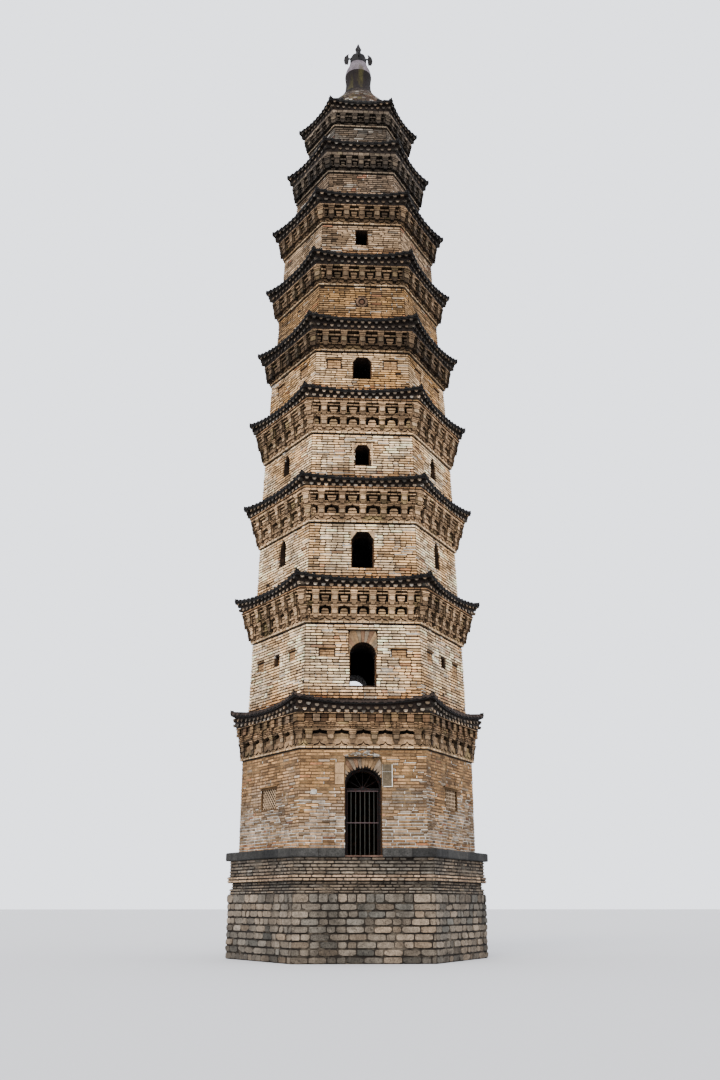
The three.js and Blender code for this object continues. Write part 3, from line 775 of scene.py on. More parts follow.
def lattice(shape, axes, diagonal):
    """The carved bars of a blind lattice window, over a black plate of painted shadow, in a frame under a
    drip course.
    """
    out = wall_out(1, LATTICE.sill)
    half, low, high = LATTICE.half, LATTICE.sill, LATTICE.crown
    back, front = out - 0.05, out - 0.03
    tint = shade(mix(BEIGE, GREY, 0.5), 0.9)
    bar = 0.013  # half a bar's width
    # painted shadow: a black plate behind the bars
    shape.block(axes, -half, half, low, high, out - LATTICE_DEPTH, back, shade(SHADOW_DARK, 0.2))
    if diagonal:
        reach = high - low
        for i in range(DIAGONALS):
            left = -half - reach + DIAGONAL_PITCH * i
            for foot, head, proud in ((left, left + reach, 0.004), (left + reach, left, 0)):
                x0, x1 = (max(-half, min(half, x)) for x in (foot, head))
                z0, z1 = (low + abs(x - foot) for x in (x0, x1))
                if abs(x1 - x0) > 0.02:
                    points = [(x0 - bar, z0), (x0 + bar, z0), (x1 + bar, z1), (x1 - bar, z1)]
                    shape.prism(axes, points, back - 0.01, front - proud, tint)
    else:
        for _, x in parts(-half, half, UPRIGHT_GAPS)[:-1]:
            shape.block(axes, x - bar, x + bar, low, high, back - 0.01, front, tint, 0.002)
        for _, z in parts(low, high, LEVEL_GAPS)[:-1]:
            shape.block(axes, -half, half, z - bar, z + bar, back - 0.01, front - 0.004, tint, 0.002)
    rim, wide = shade(mix(TAN, DARK, 0.5), 0.5), 0.03
    for x0, x1, z0, z1 in ((-half, wide - half, low, high), (half - wide, half, low, high),
                           (-half, half, low, low + wide), (-half, half, high - wide, high)):
        shape.block(axes, x0, x1, z0, z1, back, out + 0.006, rim)
    drip = shade(mix(TAN, DARK, 0.5), 0.7)
    shape.block(axes, -half - 0.09, half + 0.09, high + 0.01, high + 0.05, out, out + 0.045, drip)


def niche_back(shape, axes, number):
    """The bricks at the back of a blind niche, darkened as painted shade under its head."""
    niche = SIDE_NICHES[number]

    def tint(x, level):
        # painted shade: darker towards the niche's head
        head_shade = (level - niche.sill) / (niche.crown - niche.sill)
        light = (1.8 if number == 2 else 0.75) - 0.6 * head_shade
        return shade(mix(TAN, RED, random.uniform(0.1, 0.5)), light)

    out = wall_out(number, niche.sill) - NICHE_DEPTHS[number]
    limits = (niche.left, niche.right)
    lay_wall(shape, axes, niche.sill, niche.crown, out, tint, FINE_BRICKWORK, limits=limits)


def roundel(shape, axes):
    """A ring of bricks on edge round a boss, under a short line."""
    level = (ROUNDEL.sill + ROUNDEL.crown) / 2
    out = wall_out(6, level)
    for inner, outer, front, count, red in ((0.095, 0.155, 0.03, 18, 0.3), (0.0, 0.06, 0.024, 8, 0.6)):
        for i in range(count):
            a0, a1 = (2 * math.pi * (i + k) / count for k in (0.08, 0.92))
            points = sector(a0, a1, inner, outer, level)[: 4 if inner else 3]
            tint = shade(mix(mix(GREY, TAN, 0.5), RED, red), random.uniform(0.25, 0.45))
            shape.prism(axes, points, out - 0.03, out + front, tint)
    shape.block(axes, -0.19, 0.19, 16.66, 16.69, out, out + 0.03, shade(TAN, 0.7))


def dress_side(bricks, number, n, axes):
    """What stands in one side's openings, all of which it returns."""
    front = n % 3 == 0
    openings = []
    if number == 1 and n == 0:
        openings = [DOOR, *PATCHES]
    elif number == 1:
        openings = [LATTICE]
        lattice(bricks, axes, diagonal=n in (3, 4, 5))
    elif front and number in WINDOWS:
        openings = [WINDOWS[number]]
        window_dressing(bricks, axes, number, WINDOWS[number])
    elif number in SIDE_NICHES:
        openings = [SIDE_NICHES[number]]
        niche_back(bricks, axes, number)
    elif number == 6 and front:
        openings = [ROUNDEL]
        roundel(bricks, axes)
    elif number == 9:
        openings = [SLOT]
    for centre, half, bottom, top in PANELS.get((number, front), ()):
        openings.append(Opening(2 * half, bottom, top, centre=centre))
        panel(bricks, axes, number, centre, half, bottom, top)
    return openings


def make_walls():
    for s in STOREYS:
        bricks, pointing = Shape(GRIME_AND_SHADE), Shape()
        for n, axes in enumerate(SIDE_AXES):
            openings = dress_side(bricks, s.number, n, axes)
            wall = Wall(s.number, axes)
            low = COPING_TOP - 0.02 if s.number == 1 else wall.foot + 0.02
            laying = GROUND_BRICKWORK if s.number == 1 else BRICKWORK
            lay_wall(bricks, axes, low, s.ledge - 0.01, wall.out, wall.tint, laying, openings, wall.worn,
                     pointing=(pointing, wall.pointed))
        bricks.make(f"bricks_{s.number}", BRICK, "wall_brick")
        pointing.make(f"pointing_{s.number}", BRICK, "wall_brick")


def make_doorway():
    """The arch over the door, the jambs, a smoothed patch on its left and squared slabs on its right."""
    masonry = Shape(GRIME_AND_SHADE)
    axes, face, half, top = SIDE_AXES[0], storey(1).face, DOOR_WIDTH / 2, DOOR_PANEL_TOP
    front = face - PANEL_DEPTH + 0.02
    voussoirs(masonry, axes, half - 0.008, DOOR_SPRING, half - 0.003, top, face - 0.32, front,
              DOOR_VOUSSOIRS, ragged=0.05)
    # the lintel over the door's panel, painted black as a shadow line
    masonry.block(axes, -half - 0.01, half + 0.01, top - 0.004, top + 0.03, face - 0.04, face + 0.042,
                  shade(SHADOW_DARK, 0.3))
    for _ in range(LIME_DAUBS):
        up = random.random() ** 1.5
        x, low = random.uniform(-0.45, 0.4) * (1 - 0.8 * up), top + 0.04 + 0.15 * up
        wide, tall = random.uniform(0.02, 0.09), random.uniform(0.008, 0.018)
        masonry.brick(axes, x - wide / 2, x + wide / 2, low, low + tall, face, face + 0.024,
                      shade(LIME, random.uniform(0.3, 0.75)))
    jambs(masonry, 1, half, FLOOR + THRESHOLD, DOOR_SPRING, face - 0.004, face - 0.31, 0.3)
    masonry.brick(axes, -1.17, -1.04, 3.51, 3.62, face, face + 0.035, shade(LIME, 0.6), 0.03)

    back, front = face - 0.01, face + 0.016
    smooth, slabs = PATCHES
    for low, high in parts(smooth.sill, smooth.crown, 2):
        tint = shade(mix(BEIGE, mix(TAN, GREY, 0.5), 0.5), random.uniform(0.58, 0.64))
        masonry.brick(axes, smooth.left + 0.006, smooth.right - 0.006, low + 0.003, high - 0.003, back, front,
                      tint, 0.006)
    left, right, sill, crown = slabs.left, slabs.right, slabs.sill, slabs.crown
    for shares in ((0.0, 0.66), (0.68, 1.0)):
        low, high = (sill + share * (crown - sill) for share in shares)
        tint = shade(mix(GREY, mix(MOSS, TAN, 0.5), 0.5), random.uniform(0.24, 0.34))
        masonry.brick(axes, left + 0.01, right - 0.02, low, high, back, front, tint, 0.01)
    masonry.block(axes, left, right, sill, crown, back, face + 0.006, shade(LIME, 0.4))
    masonry.block(axes, right - 0.022, right, sill, crown, back, face + 0.022, LIME)
    masonry.block(axes, left + 0.03, right, sill - 0.012, sill + 0.01, back, face + 0.022, LIME)
    masonry.make("doorway_bricks", BRICK, "wall_brick")

    stones = Shape()
    front = COPING_RADIUS * APOTHEM - 0.025
    tread = (front - face + GATE_SET_BACK - 0.06) / 2
    for k, near in enumerate((front, front - tread)):
        for x0, x1 in ((-half + 0.001, -0.06 + 0.1 * k), (-0.055 + 0.1 * k, half - 0.001)):
            tint = shade(mix(RED, STONE, 0.5), random.uniform(0.4, 0.6))
            back = near - tread + 0.004
            stones.block(axes, x0, x1, FLOOR, FLOOR + THRESHOLD, back, near, tint, 0.004, closed_back=True)
    stones.make("threshold_stones", STONES, "base_stone", replaces=["door_threshold"])


def show_cad(prefix, material, but=()):
    for name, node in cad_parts.items():
        if name.startswith(prefix) and name not in but:
            node.data.materials.clear()
            node.data.materials.append(material)


# Base

BASE_OUT = 2.6  # about how far out the base's faces are, where their drift is read
SLAB_LENGTH, SLAB_ROUNDING, SLAB_GAP = 0.62, 0.02, 0.004


def base_tint(axes, low_colour, high_colour, seed, spread):
    def tint(x, level):
        slow = axes.patchy(x, level, 0.7, seed, BASE_OUT)
        colour = mix(low_colour, high_colour, slow * 1.4 - 0.2)
        if random.random() < 0.12:
            colour = mix(colour, shade(random.choice((mix(TAN, GREY, 0.5), DARK, GREY)), 0.55), 0.5)
        dirt = 1 - 0.45 * max(0.0, 1 - level / 0.35)
        return shade(colour, dirt * random.uniform(1 - spread, 1 + spread * 0.7))

    return tint


def make_base():
    """The courses from the ground up, and the coping's slabs."""
    warm = (shade(mix(ORANGE, GREY, 0.6), 0.7), shade(mix(BEIGE, GREY, 0.5), 0.75), 3, 0.35)
    grey = (shade(STONE, 0.5), shade(mix(GREY, BEIGE, 0.25), 0.55), 5, 0.35)
    brown = (shade(mix(GREY, TAN, 0.35), 0.55), shade(mix(STONE, DARK, 0.3), 0.7), 7, 0.4)
    layers = [  # (top, how far its corners stand out, masonry, colours)
        (0.30, 0.0, ASHLAR, grey),
        (1.22, 0.0, ASHLAR, grey),
        (PLINTH_TOP, 0.006, ASHLAR, grey),
        (PLINTH_TOP + 0.12, -0.04, ROUGH_COURSES, brown),
        (WAIST_TOP, -0.09, ROUGH_COURSES, brown),
        (WAIST_TOP + 0.14, 0.02, ROUGH_COURSES, warm),
        (FLOOR, -0.025, ROUGH_COURSES, brown),
    ]
    masonry, slabs = Shape(GRIME_AND_SHADE), Shape()
    low = 0.0
    for high, proud, laying, colours in layers:
        for axes in SIDE_AXES:
            worn = lambda x, level: clamp(2.2 * (axes.patchy(x, level, 0.6, 11, BASE_OUT) - 0.5))
            out = (BASE_RADIUS + proud) * APOTHEM
            lay_wall(masonry, axes, low, high, out, base_tint(axes, *colours), laying, sunk=worn)
        low = high
    masonry.make("base_masonry", STONES, "base_stone")

    corner, door = COPING_RADIUS * APOTHEM * HALF, DOOR_WIDTH / 2
    for n, axes in enumerate(SIDE_AXES):
        for start, end in ((-corner, -door), (door, corner)) if n == 0 else ((-corner, corner),):
            stretch = parts(start, end, max(2, round((end - start) / SLAB_LENGTH)))
            cuts = [start, *(a + random.uniform(-0.06, 0.06) for a, _ in stretch[1:]), stretch[-1][1]]
            for a, b in zip(cuts, cuts[1:]):
                tint = shade(mix(SLAB, STONE, random.uniform(0, 0.35)), random.uniform(0.16, 0.42))
                slab(slabs, axes, a, b, a != start, b != end, tint)
    slabs.make("coping_slabs", STONES, "base_stone", replaces=["base_coping"])


def slab(shape, axes, a, b, gap_left, gap_right, tint):
    """One coping slab, mitred where it ends at a corner, its outer edges rounded off."""
    inside, out = storey(1).face, COPING_RADIUS * APOTHEM
    a0, b0 = (x * inside / out if abs(x) > out * HALF - 0.001 else x for x in (a, b))
    left, right = SLAB_GAP * gap_left, SLAB_GAP * gap_right
    top = COPING_TOP + random.uniform(-0.006, 0.0)
    rings = []
    soft = SLAB_ROUNDING
    for level, back in ((FLOOR, 0.012), (FLOOR + soft, 0), (top - soft, 0), (top, soft)):
        edge = out - back
        rings.append([axes.place(a0 + left, level, inside), axes.place(a * edge / out + left, level, edge),
                      axes.place(b * edge / out - right, level, edge), axes.place(b0 - right, level, inside)])
    shape.loft(rings, tint, caps=True)


# Cornices

NECK, CAP, BODY = 0.064, 0.092, 0.085  # a bracket's half widths
DENTIL = 0.09  # a block's width in the ground storey's second tier
# Painted shade: the sides of cornice bricks, brackets and rafter ends are darkened to deepen the hollows.
SIDES_LEFT = 0.26  # how much of a cornice brick's colour is left on its sides
DARKENING = {1: 0.55, 2: 0.95, 3: 1.0, 4: 0.85, 5: 0.28, 6: 0.42, 7: 0.38, 8: 0.19, 9: 0.22}
# Shares of the upper or only tier's height: its bays' top, then the foot and top of the dark line over them.
UPPER_LEVELS = {2: (0.8, 0.97, 1.1), 3: (0.7, 0.84, 0.96), 4: (0.74, 0.88, 1.0), 5: (0.67, 0.84, 1.04),
                6: (0.67, 0.84, 1.04), 7: (0.67, 0.84, 1.04), 8: (0.5, 0.68, 0.9), 9: (0.45, 0.62, 0.85)}
# Half of a line that swings up to a point: (share of its half width, share of its rise)
SWING = ((1, 0.0), (0.85, 0.25), (0.3, 0.42), (0.15, 0.6))
ACCOLADE = [(-across, up) for across, up in SWING] + [(0, 1.0)] + list(reversed(SWING))


def cornice_tint(number, axes, light=1.0, warm=0.0):
    def tint(x, level):
        colour = mix(mix(TAN, BEIGE, 0.6), mix(GREY, RED, 0.25), 0.35)
        colour = mix(colour, DARK, 0.1 + 0.5 * axes.patchy(x, level, 0.6, 20 + number))
        colour = mix(mix(colour, ORANGE, warm), GREY, 0.5 if number >= 8 else 0.0)
        colour = mix(colour, MOSS, 1.5 * (axes.patchy(x, level, 0.25, 60) - 0.68))
        return shade(colour, random.uniform(0.5, 1.55) * DARKENING[number] * light)

    return tint


def strip(shape, axes, x0, x1, low, high, back, front, tint_of, length=0.15):
    """A course of headers."""
    count = max(1, round((x1 - x0) / length))
    for i, (a, b) in enumerate(parts(x0, x1, count)):
        left, right = a + (0.004 if i else 0), b - (0.004 if i < count - 1 else 0)
        shape.brick(axes, left, right, low + 0.005, high - 0.005, back, front + random.uniform(-0.006, 0.006),
                    tint_of((a + b) / 2, low), 0.01)


def accolade(x0, x1, side, point):
    """The points of a line from x0 to x1 that swings up from the level side to a middle point."""
    mid, half = (x0 + x1) / 2, (x1 - x0) / 2
    return [(mid + half * across, side + (point - side) * up) for across, up in ACCOLADE]


def plate(shape, axes, under, over, back, front, tint):
    """A plate between two lines of points that share their places along the side."""
    for (xa, za), (xb, zb), (_, zc), (_, zd) in zip(under, under[1:], over, over[1:]):
        if xb - xa > 1e-4:
            shape.prism(axes, [(xa, za), (xb, zb), (xb, zd), (xa, zc)], back, front, tint)


def level_line(line, level):
    return [(x, level) for x, _ in line]


def bracket(shape, axes, centre, low, high, back, front, tint_of, wide=1.0):
    """A bracket: a dark foot, a pale neck on a plain body, a flared shoulder and a cap in two layers. The
    foot and body are darkened as painted shade, and the neck is partly lightened as painted light.
    """
    tint = tint_of(centre, low)
    neck, cap, body = NECK * wide, CAP * wide, BODY * wide
    foot, shoulder, cap_low, split = (low + share * (high - low) for share in (0.2, 0.58, 0.74, 0.87))
    back -= 0.03
    # painted shade on the set-back body, and below it on the foot
    shape.block(axes, centre - body, centre + body, low, high, back, front - 0.035, shade(tint, 0.7))
    points = taper(centre, neck * 0.75, neck, low - 0.055, foot)
    shape.prism(axes, points, back, front - 0.01, shade(tint, 0.55), 0.006)
    # painted light: the neck's paleness is partly light on its front
    light = min(1.0, 2.2 * tint[1])  # how bright a pale brick is among the others
    pale = mix(tint_of(centre, high), shade(PALE, light), random.uniform(0.1, 0.5))
    shape.brick(axes, centre - neck, centre + neck, foot, shoulder, back, front + 0.012, pale, 0.02)
    points = taper(centre, neck, cap, shoulder, cap_low)
    shape.prism(axes, points, back, front + 0.022, shade(tint, 0.9), 0.004)
    layers = ((cap_low, split - 0.002, cap * 0.92, 0.034), (split + 0.002, high + 0.004, cap, 0.048))
    for z0, z1, half, proud in layers:
        shape.brick(axes, centre - half, centre + half, z0, z1, back, front + proud,
                    shade(tint_of(centre, z0), 1.15), 0.014)


def boss(shape, axes, centre, half, low, high, back, front, tint, pointed):
    """The shield in a bay, in two layers: narrower at its top in the pointed bays, else at its foot."""
    split, narrow = (low + high) / 2, half * 0.62
    foot, head = (half, narrow) if pointed else (narrow, half)
    layers = ((low, split - 0.004, foot, half, 0.0), (split + 0.004, high, half, head, 0.012))
    for z0, z1, w0, w1, proud in layers:
        shape.prism(axes, taper(centre, w0, w1, z0, z1), back - 0.02, front + proud,
                    shade(tint, random.uniform(0.8, 1.15)), 0.008)


class Tier:
    """The levels and faces of one tier of brackets."""

    def __init__(self, s, number):
        self.s = s
        self.low = s.band + number * s.tier_height
        self.top = self.low + s.tier_height
        self.high = self.top - COURSE
        self.front = s.courses[number] * APOTHEM
        self.back = (s.courses[number] - s.bay_depth) * APOTHEM
        self.edge = self.front * HALF
        self.pointed = number == 0 and s.tiers == 2
        self.centres = [(i - (s.brackets - 1) / 2) * s.pitch for i in range(s.brackets)]
        self.rest = self.at(0.2 if self.pointed else 0.08)  # where the bays' sills end

    def at(self, share):
        return self.low + share * (self.high - self.low)


def tier_of(s, number, bricks, pieces, n, axes):
    """One tier of brackets on one side, with what fills the bays between them."""
    t = Tier(s, number)
    if s.number == 1 and number == 1:
        dentil_tier(t, bricks, pieces, axes)
        return
    tint, light = cornice_tint(s.number, axes), cornice_tint(s.number, axes, 1.15)
    top = t.high if t.pointed else t.at(UPPER_LEVELS[s.number][2])
    for centre in t.centres:
        bracket(pieces, axes, centre, t.low, top, t.back, t.front, tint)
    corner = t.front / APOTHEM
    bracket(pieces, CORNER_AXES[n], 0.0, t.low, top, corner - s.bay_depth - 0.08, corner - 0.05, tint, 1.2)
    bounds = [-t.edge + 0.02, *t.centres, t.edge - 0.02]
    for i, (left, right) in enumerate(zip(bounds, bounds[1:])):
        x0 = left + (0.05 if i == 0 else BODY)
        x1 = right - (0.05 if i == len(bounds) - 2 else BODY)
        bay(t, bricks, pieces, axes, left, right, x0, x1, tint, light)
    low = t.high + 0.03 if t.pointed else top
    rim = (lambda x, level: shade(light(x, level), 1.5)) if s.tiers == 1 else light
    strip(bricks, axes, -t.edge - 0.006, t.edge + 0.006, low, t.top, t.back, t.front + 0.012, rim)
    if number == 0 and s.number < 8:
        line_under(t, bricks, axes, bounds, light)


def bay(t, bricks, pieces, axes, left, right, x0, x1, tint, light):
    """What stands between two brackets: a sill, a shield in the dark, its colour darkened as painted shade,
    and the plate or courses over it.
    """
    mid, shield, rest = (x0 + x1) / 2, 0.33 * (x1 - x0), t.rest
    # painted shade: the shield is darker than the bricks of its bay
    boss_shade = shade(tint(mid, t.low), 0.8)
    strip(bricks, axes, left, right, t.low - 0.004, rest, t.back, t.front - 0.04, light, 0.17)
    if t.s.number == 1:
        lower = [(x, z - 0.06 - rest) for x, z in accolade(x0, x1, t.at(0.84), t.at(1.0))]
        for share in (0.5, 1.0):
            foot = [(x, rest + z * (share - 0.5)) for x, z in lower]
            line = [(x, rest + z * share - 0.004) for x, z in lower]
            plate(pieces, axes, foot, line, t.back, t.front - 0.06, shade(light(mid, t.low), 0.9))
    elif t.pointed:
        boss(pieces, axes, mid, shield, rest, t.at(0.74), t.back, t.front - 0.055, boss_shade, True)
    if t.pointed:
        side = t.at(0.87)
        line = [(left, side), *accolade(x0, x1, side, t.at(1.08)), (right, side)]
        plate(pieces, axes, line, level_line(line, t.high + 0.034), t.back, t.front - 0.01, tint(mid, t.high))
        return
    sides, gap_low, _ = (t.at(share) for share in UPPER_LEVELS[t.s.number])
    boss(pieces, axes, mid, shield, rest + 0.01, sides - 0.035, t.back, t.front - 0.055, boss_shade, False)
    strip(bricks, axes, left, right, sides, gap_low, t.back, t.front - 0.02, light, 0.2)


def line_under(t, bricks, axes, bounds, tint_of):
    """The plates under the bays, parted by a dark line that runs level and makes a small arch in each bay."""
    wall, ledge = t.s.face, t.s.ledge
    level = ledge + 0.118
    for left, right in zip(bounds, bounds[1:]):
        mid, half = (left + right) / 2, min(0.14, (right - left) * 0.36)
        feet = level_line([(left, 0), (mid - half - 0.012, 0), (mid + half + 0.012, 0), (right, 0)], level)
        line = feet[:2] + accolade(mid - half, mid + half, ledge + 0.085, ledge + 0.185) + feet[2:]
        groove = [(x, z - (0.032 if abs(x - mid) < half * 0.99 else 0.012)) for x, z in line]
        tint = tint_of(mid, level)
        plate(bricks, axes, line, level_line(line, t.rest - 0.004), wall - 0.02, wall + 0.062, tint)
        plate(bricks, axes, level_line(line, ledge + MOULDING), groove, wall - 0.02, wall + 0.048,
              shade(tint, 1.1))


def dentil_tier(t, bricks, pieces, axes):
    """The ground storey's second tier: worn carvings over brackets, then blocks that stand out in turn."""
    tint, light = cornice_tint(1, axes, 1.15, 0.12), cornice_tint(1, axes, 1.4)
    front, foot, head = t.front, t.low + 0.115, t.top - 0.03
    lay_wall(bricks, axes, t.low, foot, front - 0.06, tint, FINE_BRICKWORK)
    for centre in t.centres:
        for k in range(4):
            z0 = t.low - 0.03 + 0.038 * k
            width = 0.06 + 0.018 * k + random.uniform(-0.025, 0.01)
            for side in (-1, 1):
                ends = sorted((centre + side * 0.006, centre + side * width))
                out = front - 0.03 + 0.014 * k + random.uniform(-0.01, 0.01)
                pieces.brick(axes, *ends, z0, z0 + 0.028, t.back, out, shade(tint(centre, z0), 0.9), 0.018)
    for i, (a, b) in enumerate(parts(-t.edge, t.edge, 2 * round(t.edge / (2 * DENTIL)) + 1)):
        out, light_of = (front - 0.05, 0.45) if i % 2 else (front - 0.004, 0.85)
        stained = random.choice((RED, MOSS, GREY, TAN))
        for z0, z1 in parts(foot, head, 2):
            block = shade(mix(tint(a, z0), shade(stained, 0.5), 0.22), light_of)
            bricks.brick(axes, a + 0.006, b - 0.006, z0 + 0.004, z1 - 0.006, t.back,
                         out + random.uniform(-0.006, 0.004), block, 0.014)
    strip(bricks, axes, -t.edge - 0.01, t.edge + 0.01, head, t.top, t.back, front + 0.02, light)


def make_cornice(s):
    bricks, pieces, core = Shape(SIDES_LEFT), Shape(SIDES_LEFT), Shape()
    pale, dusty = min(1.0, DARKENING[s.number] + 0.25), 0.55 if s.number >= 8 else 0.0

    def moulding(x, level):
        return shade(mix(mix(PALE, BEIGE, random.random()), GREY, dusty), random.uniform(0.6, 1.1) * pale)

    def course(axes, out, low, high, back, tint):
        strip(bricks, axes, -out * HALF, out * HALF, low, high, back, out, tint)

    for n, axes in enumerate(SIDE_AXES):
        course(axes, s.face + 0.055, s.ledge + 0.02, s.ledge + MOULDING, s.face - 0.02, moulding)
        if s.number >= 8:
            band = cornice_tint(s.number, axes, 1.15)
            lay_wall(bricks, axes, s.ledge + MOULDING, s.band, s.face + 0.008, band, FINE_BRICKWORK)
        for number in range(s.tiers):
            tier_of(s, number, bricks, pieces, n, axes)
        if 1 < s.number < 5:
            brown = cornice_tint(s.number, axes, 0.7, 0.3)
            course(axes, s.soffit + 0.035, s.rafters + 0.004, s.rafters + 0.05, s.soffit - 0.065, brown)
    profile = [(s.wall - 0.004, s.ledge), (s.wall + 0.004, s.ledge + 0.02), (s.wall + 0.004, s.band)]
    for number, out in enumerate(s.courses):
        low = s.band + number * s.tier_height
        profile += [(out - s.bay_depth, low), (out - s.bay_depth, low + s.tier_height)]
    inner, top = s.core()
    # the core stands in the bays' hollows; its near-black mortar and tint are painted shade
    core.turned([*profile, (inner, s.rafters), (inner, top)], SIDES, SHADOW_DARK)
    core.make(f"cornice_core_{s.number}", CORNICE_SHADE_MORTAR, "cornice_brick", replaces=[f"cornice_{s.number}"])
    bricks.make(f"cornice_bricks_{s.number}", CORNICE, "cornice_brick")
    pieces.make(f"brackets_{s.number}", CORNICE, "cornice_brick")


# Eaves and roofs

RAFTER_REACH = (0.42, 0.92)  # shares of the way out from the cornice to the eave's edge
RAFTER_TOP = 0.036  # above a rafter end's middle
TILE_SHY = 0.02  # how far the roof's bed stands back behind its tiles' ends
COVER_RADIUS, COVER_LENGTH = 0.036, 0.2


def rafter_place(s, row, along):
    """The out and the level of a row's rafter ends, at a share of the way from mid side to corner."""
    share, under = RAFTER_REACH[row], s.soffit + 0.015
    out = under + (s.out(0) - under) * share + CORNER_REACH * APOTHEM * share * abs(along) ** TURN_UP - 0.01
    return out, s.rafters + (s.under - s.rafters) * s.rafter_rise[row] + s.lift(along) * share


def make_rafters(s):
    """Two staggered rows of rafter ends, round below and limewashed once, the outer row in the shade."""
    ends = Shape(SIDES_LEFT)
    for axes in SIDE_AXES:
        for row, light in enumerate((0.74, 0.36) if s.tiers == 2 else (0.27, 0.25)):
            half = rafter_place(s, row, 0.0)[0] * HALF
            count = round(2 * half / s.rafter_pitch)
            for i in range(count + 1 - row):
                x = -half + 2 * half * (i + 0.5 * row) / count
                tint = shade(mix(BEIGE, GREY, random.uniform(0.4, 1.0)), light * random.uniform(0.25, 0.9))
                rafter_end(ends, axes, x, *rafter_place(s, row, x / half), s.rafter_pitch * 0.27, tint)
    ends.make(f"rafters_{s.number}", CORNICE, "cornice_brick")


def rafter_end(ends, axes, x, out, level, wide, tint):
    low, front = level - 0.038, out + random.uniform(-0.012, 0.0)
    foot, side = taper(x, wide * 0.5, wide, low, low + 0.024), taper(x, wide, wide, low, level + RAFTER_TOP)
    ends.prism(axes, [*foot[:3], *side[2:], foot[3]], out - 0.16, front, tint, 0.006)
    lime = shade(tint, random.choice((1.0, 1.3, 1.6, 2.4, 3.4)))
    face = taper(x, wide * 0.62 * 0.6, wide * 0.62, low + 0.006, low + 0.032)
    ends.prism(axes, face, front - 0.01, front + 0.008, mix(lime, GREY, 0.08), 0.003)


def roof_profile(s):
    """The roof's surface in from its lip, as (out, level, share of the corners' rise)."""
    core, top = s.core()
    if s.number < len(STOREYS):
        return [(core * APOTHEM, top, 0.0)]
    return [(1.45 * APOTHEM, 23.60, 0.3), (1.10 * APOTHEM, top, 0.0), (core * APOTHEM, top, 0.0)]


def make_roof(s):
    """The roof's bed, closer set than the solid's, with its underside between the rafters darkened as painted
    shade.
    """
    bed = Shape()
    steps, under, inside = 16, s.soffit + 0.005, s.core()[0] * APOTHEM
    for axes in SIDE_AXES:
        rings = []
        for i in range(steps + 1):
            along = 2 * i / steps - 1
            lift, out = s.lift(along), s.out(along) - TILE_SHY
            inner, step = rafter_place(s, 0, along)
            ring = [(inside, s.rafters + 0.004), (under, s.rafters + 0.004), (under, step + RAFTER_TOP),
                    (inner - 0.03, step + RAFTER_TOP), (inner - 0.03, s.under + lift), (out, s.under + lift),
                    (out, s.edge + lift)]
            ring += [(o, level + share * lift) for o, level, share in roof_profile(s)]
            rings.append([axes.place(o * HALF * along, z, o) for o, z in ring])
        # painted shade: the eave's underside is near-black
        bed.loft([ring[:6] for ring in rings], shade(SOFFIT_SHADE, 0.55 if s.tiers == 2 else 0.4), closed=False)
        bed.loft([ring[5:] for ring in rings], shade(TILE_GREY, 0.5), closed=False)
    bed.make(f"roof_bed_{s.number}", TILE, "roof_tile", replaces=[f"roof_{s.number}"])


def make_tiles(s):
    """Cover tiles with round ends, drip tiles between them along the edge, and a ridge on each corner."""
    tiles = Shape()
    half = s.out(0) * HALF
    count = round(2 * half / s.rafter_pitch)
    for axes in SIDE_AXES:
        for i in range(count + 1):
            x = -half + 2 * half * i / count
            tint = shade(LOWEST_TILE if s.number == 1 else TILE_GREY, random.uniform(0.6, 1.5))
            if i < count and random.random() > 0.04:
                drip_tile(tiles, axes, s, x + half / count, half, tint)
            cover_row(tiles, axes, s, x, x / half, tint)
    for axes in CORNER_AXES:
        corner_ridge(tiles, axes, s)
    tiles.make(f"tiles_{s.number}", TILE, "roof_tile")


def drip_tile(tiles, axes, s, x, half, tint):
    """A drip tile, whose face hangs down to a blunt point."""
    edge, out = s.edge + s.lift(x / half), s.out(x / half)
    wide, drop = s.rafter_pitch * 0.42, random.uniform(0.05, 0.07)
    points = [(x + wide * across, edge - drop * down) for across, down in
              ((-1, 0), (-0.8, 0.55), (0, 1), (0.8, 0.55), (1, 0))]
    tiles.prism(axes, points, out - 0.035, out - 0.008, tint, closed_back=True)


def cover_row(tiles, axes, s, x, along, tint):
    """A row of half-round tiles up the slope from the edge, and its round end."""
    lift, out = s.lift(along), s.out(along)
    edge = s.edge + lift
    profile = [(out - 0.008, edge)] + [(o, z + lift * share) for o, z, share in roof_profile(s)][:2]
    stop = max(profile[-1][0], abs(x) / HALF)
    row = profile[:1]
    for (o0, z0), (o1, z1) in zip(profile, profile[1:]):
        if o0 <= stop:
            break
        if o1 < stop:
            o1, z1 = stop, z0 + (z1 - z0) * (o0 - stop) / (o0 - o1)
        pieces = max(1, round((o0 - o1) / COVER_LENGTH))
        row += [(o0 + (o1 - o0) * k / pieces, z0 + (z1 - z0) * k / pieces) for k in range(1, pieces + 1)]
    for near, far in zip(row, row[1:]):
        rings = [axes.outline(polar([(a, r) for a in arc(5, math.pi, -math.pi)], x, z - 0.005), o)
                 for (o, z), r in ((far, COVER_RADIUS * 0.86), (near, COVER_RADIUS))]
        tiles.loft(rings, shade(tint, random.uniform(0.8, 1.2)), closed=False)
    face = polar([(a, COVER_RADIUS) for a in circle(10)], x, edge - 0.012)
    tiles.prism(axes, face, out - 0.03, out - 0.002, shade(tint, 0.8), closed_back=True)


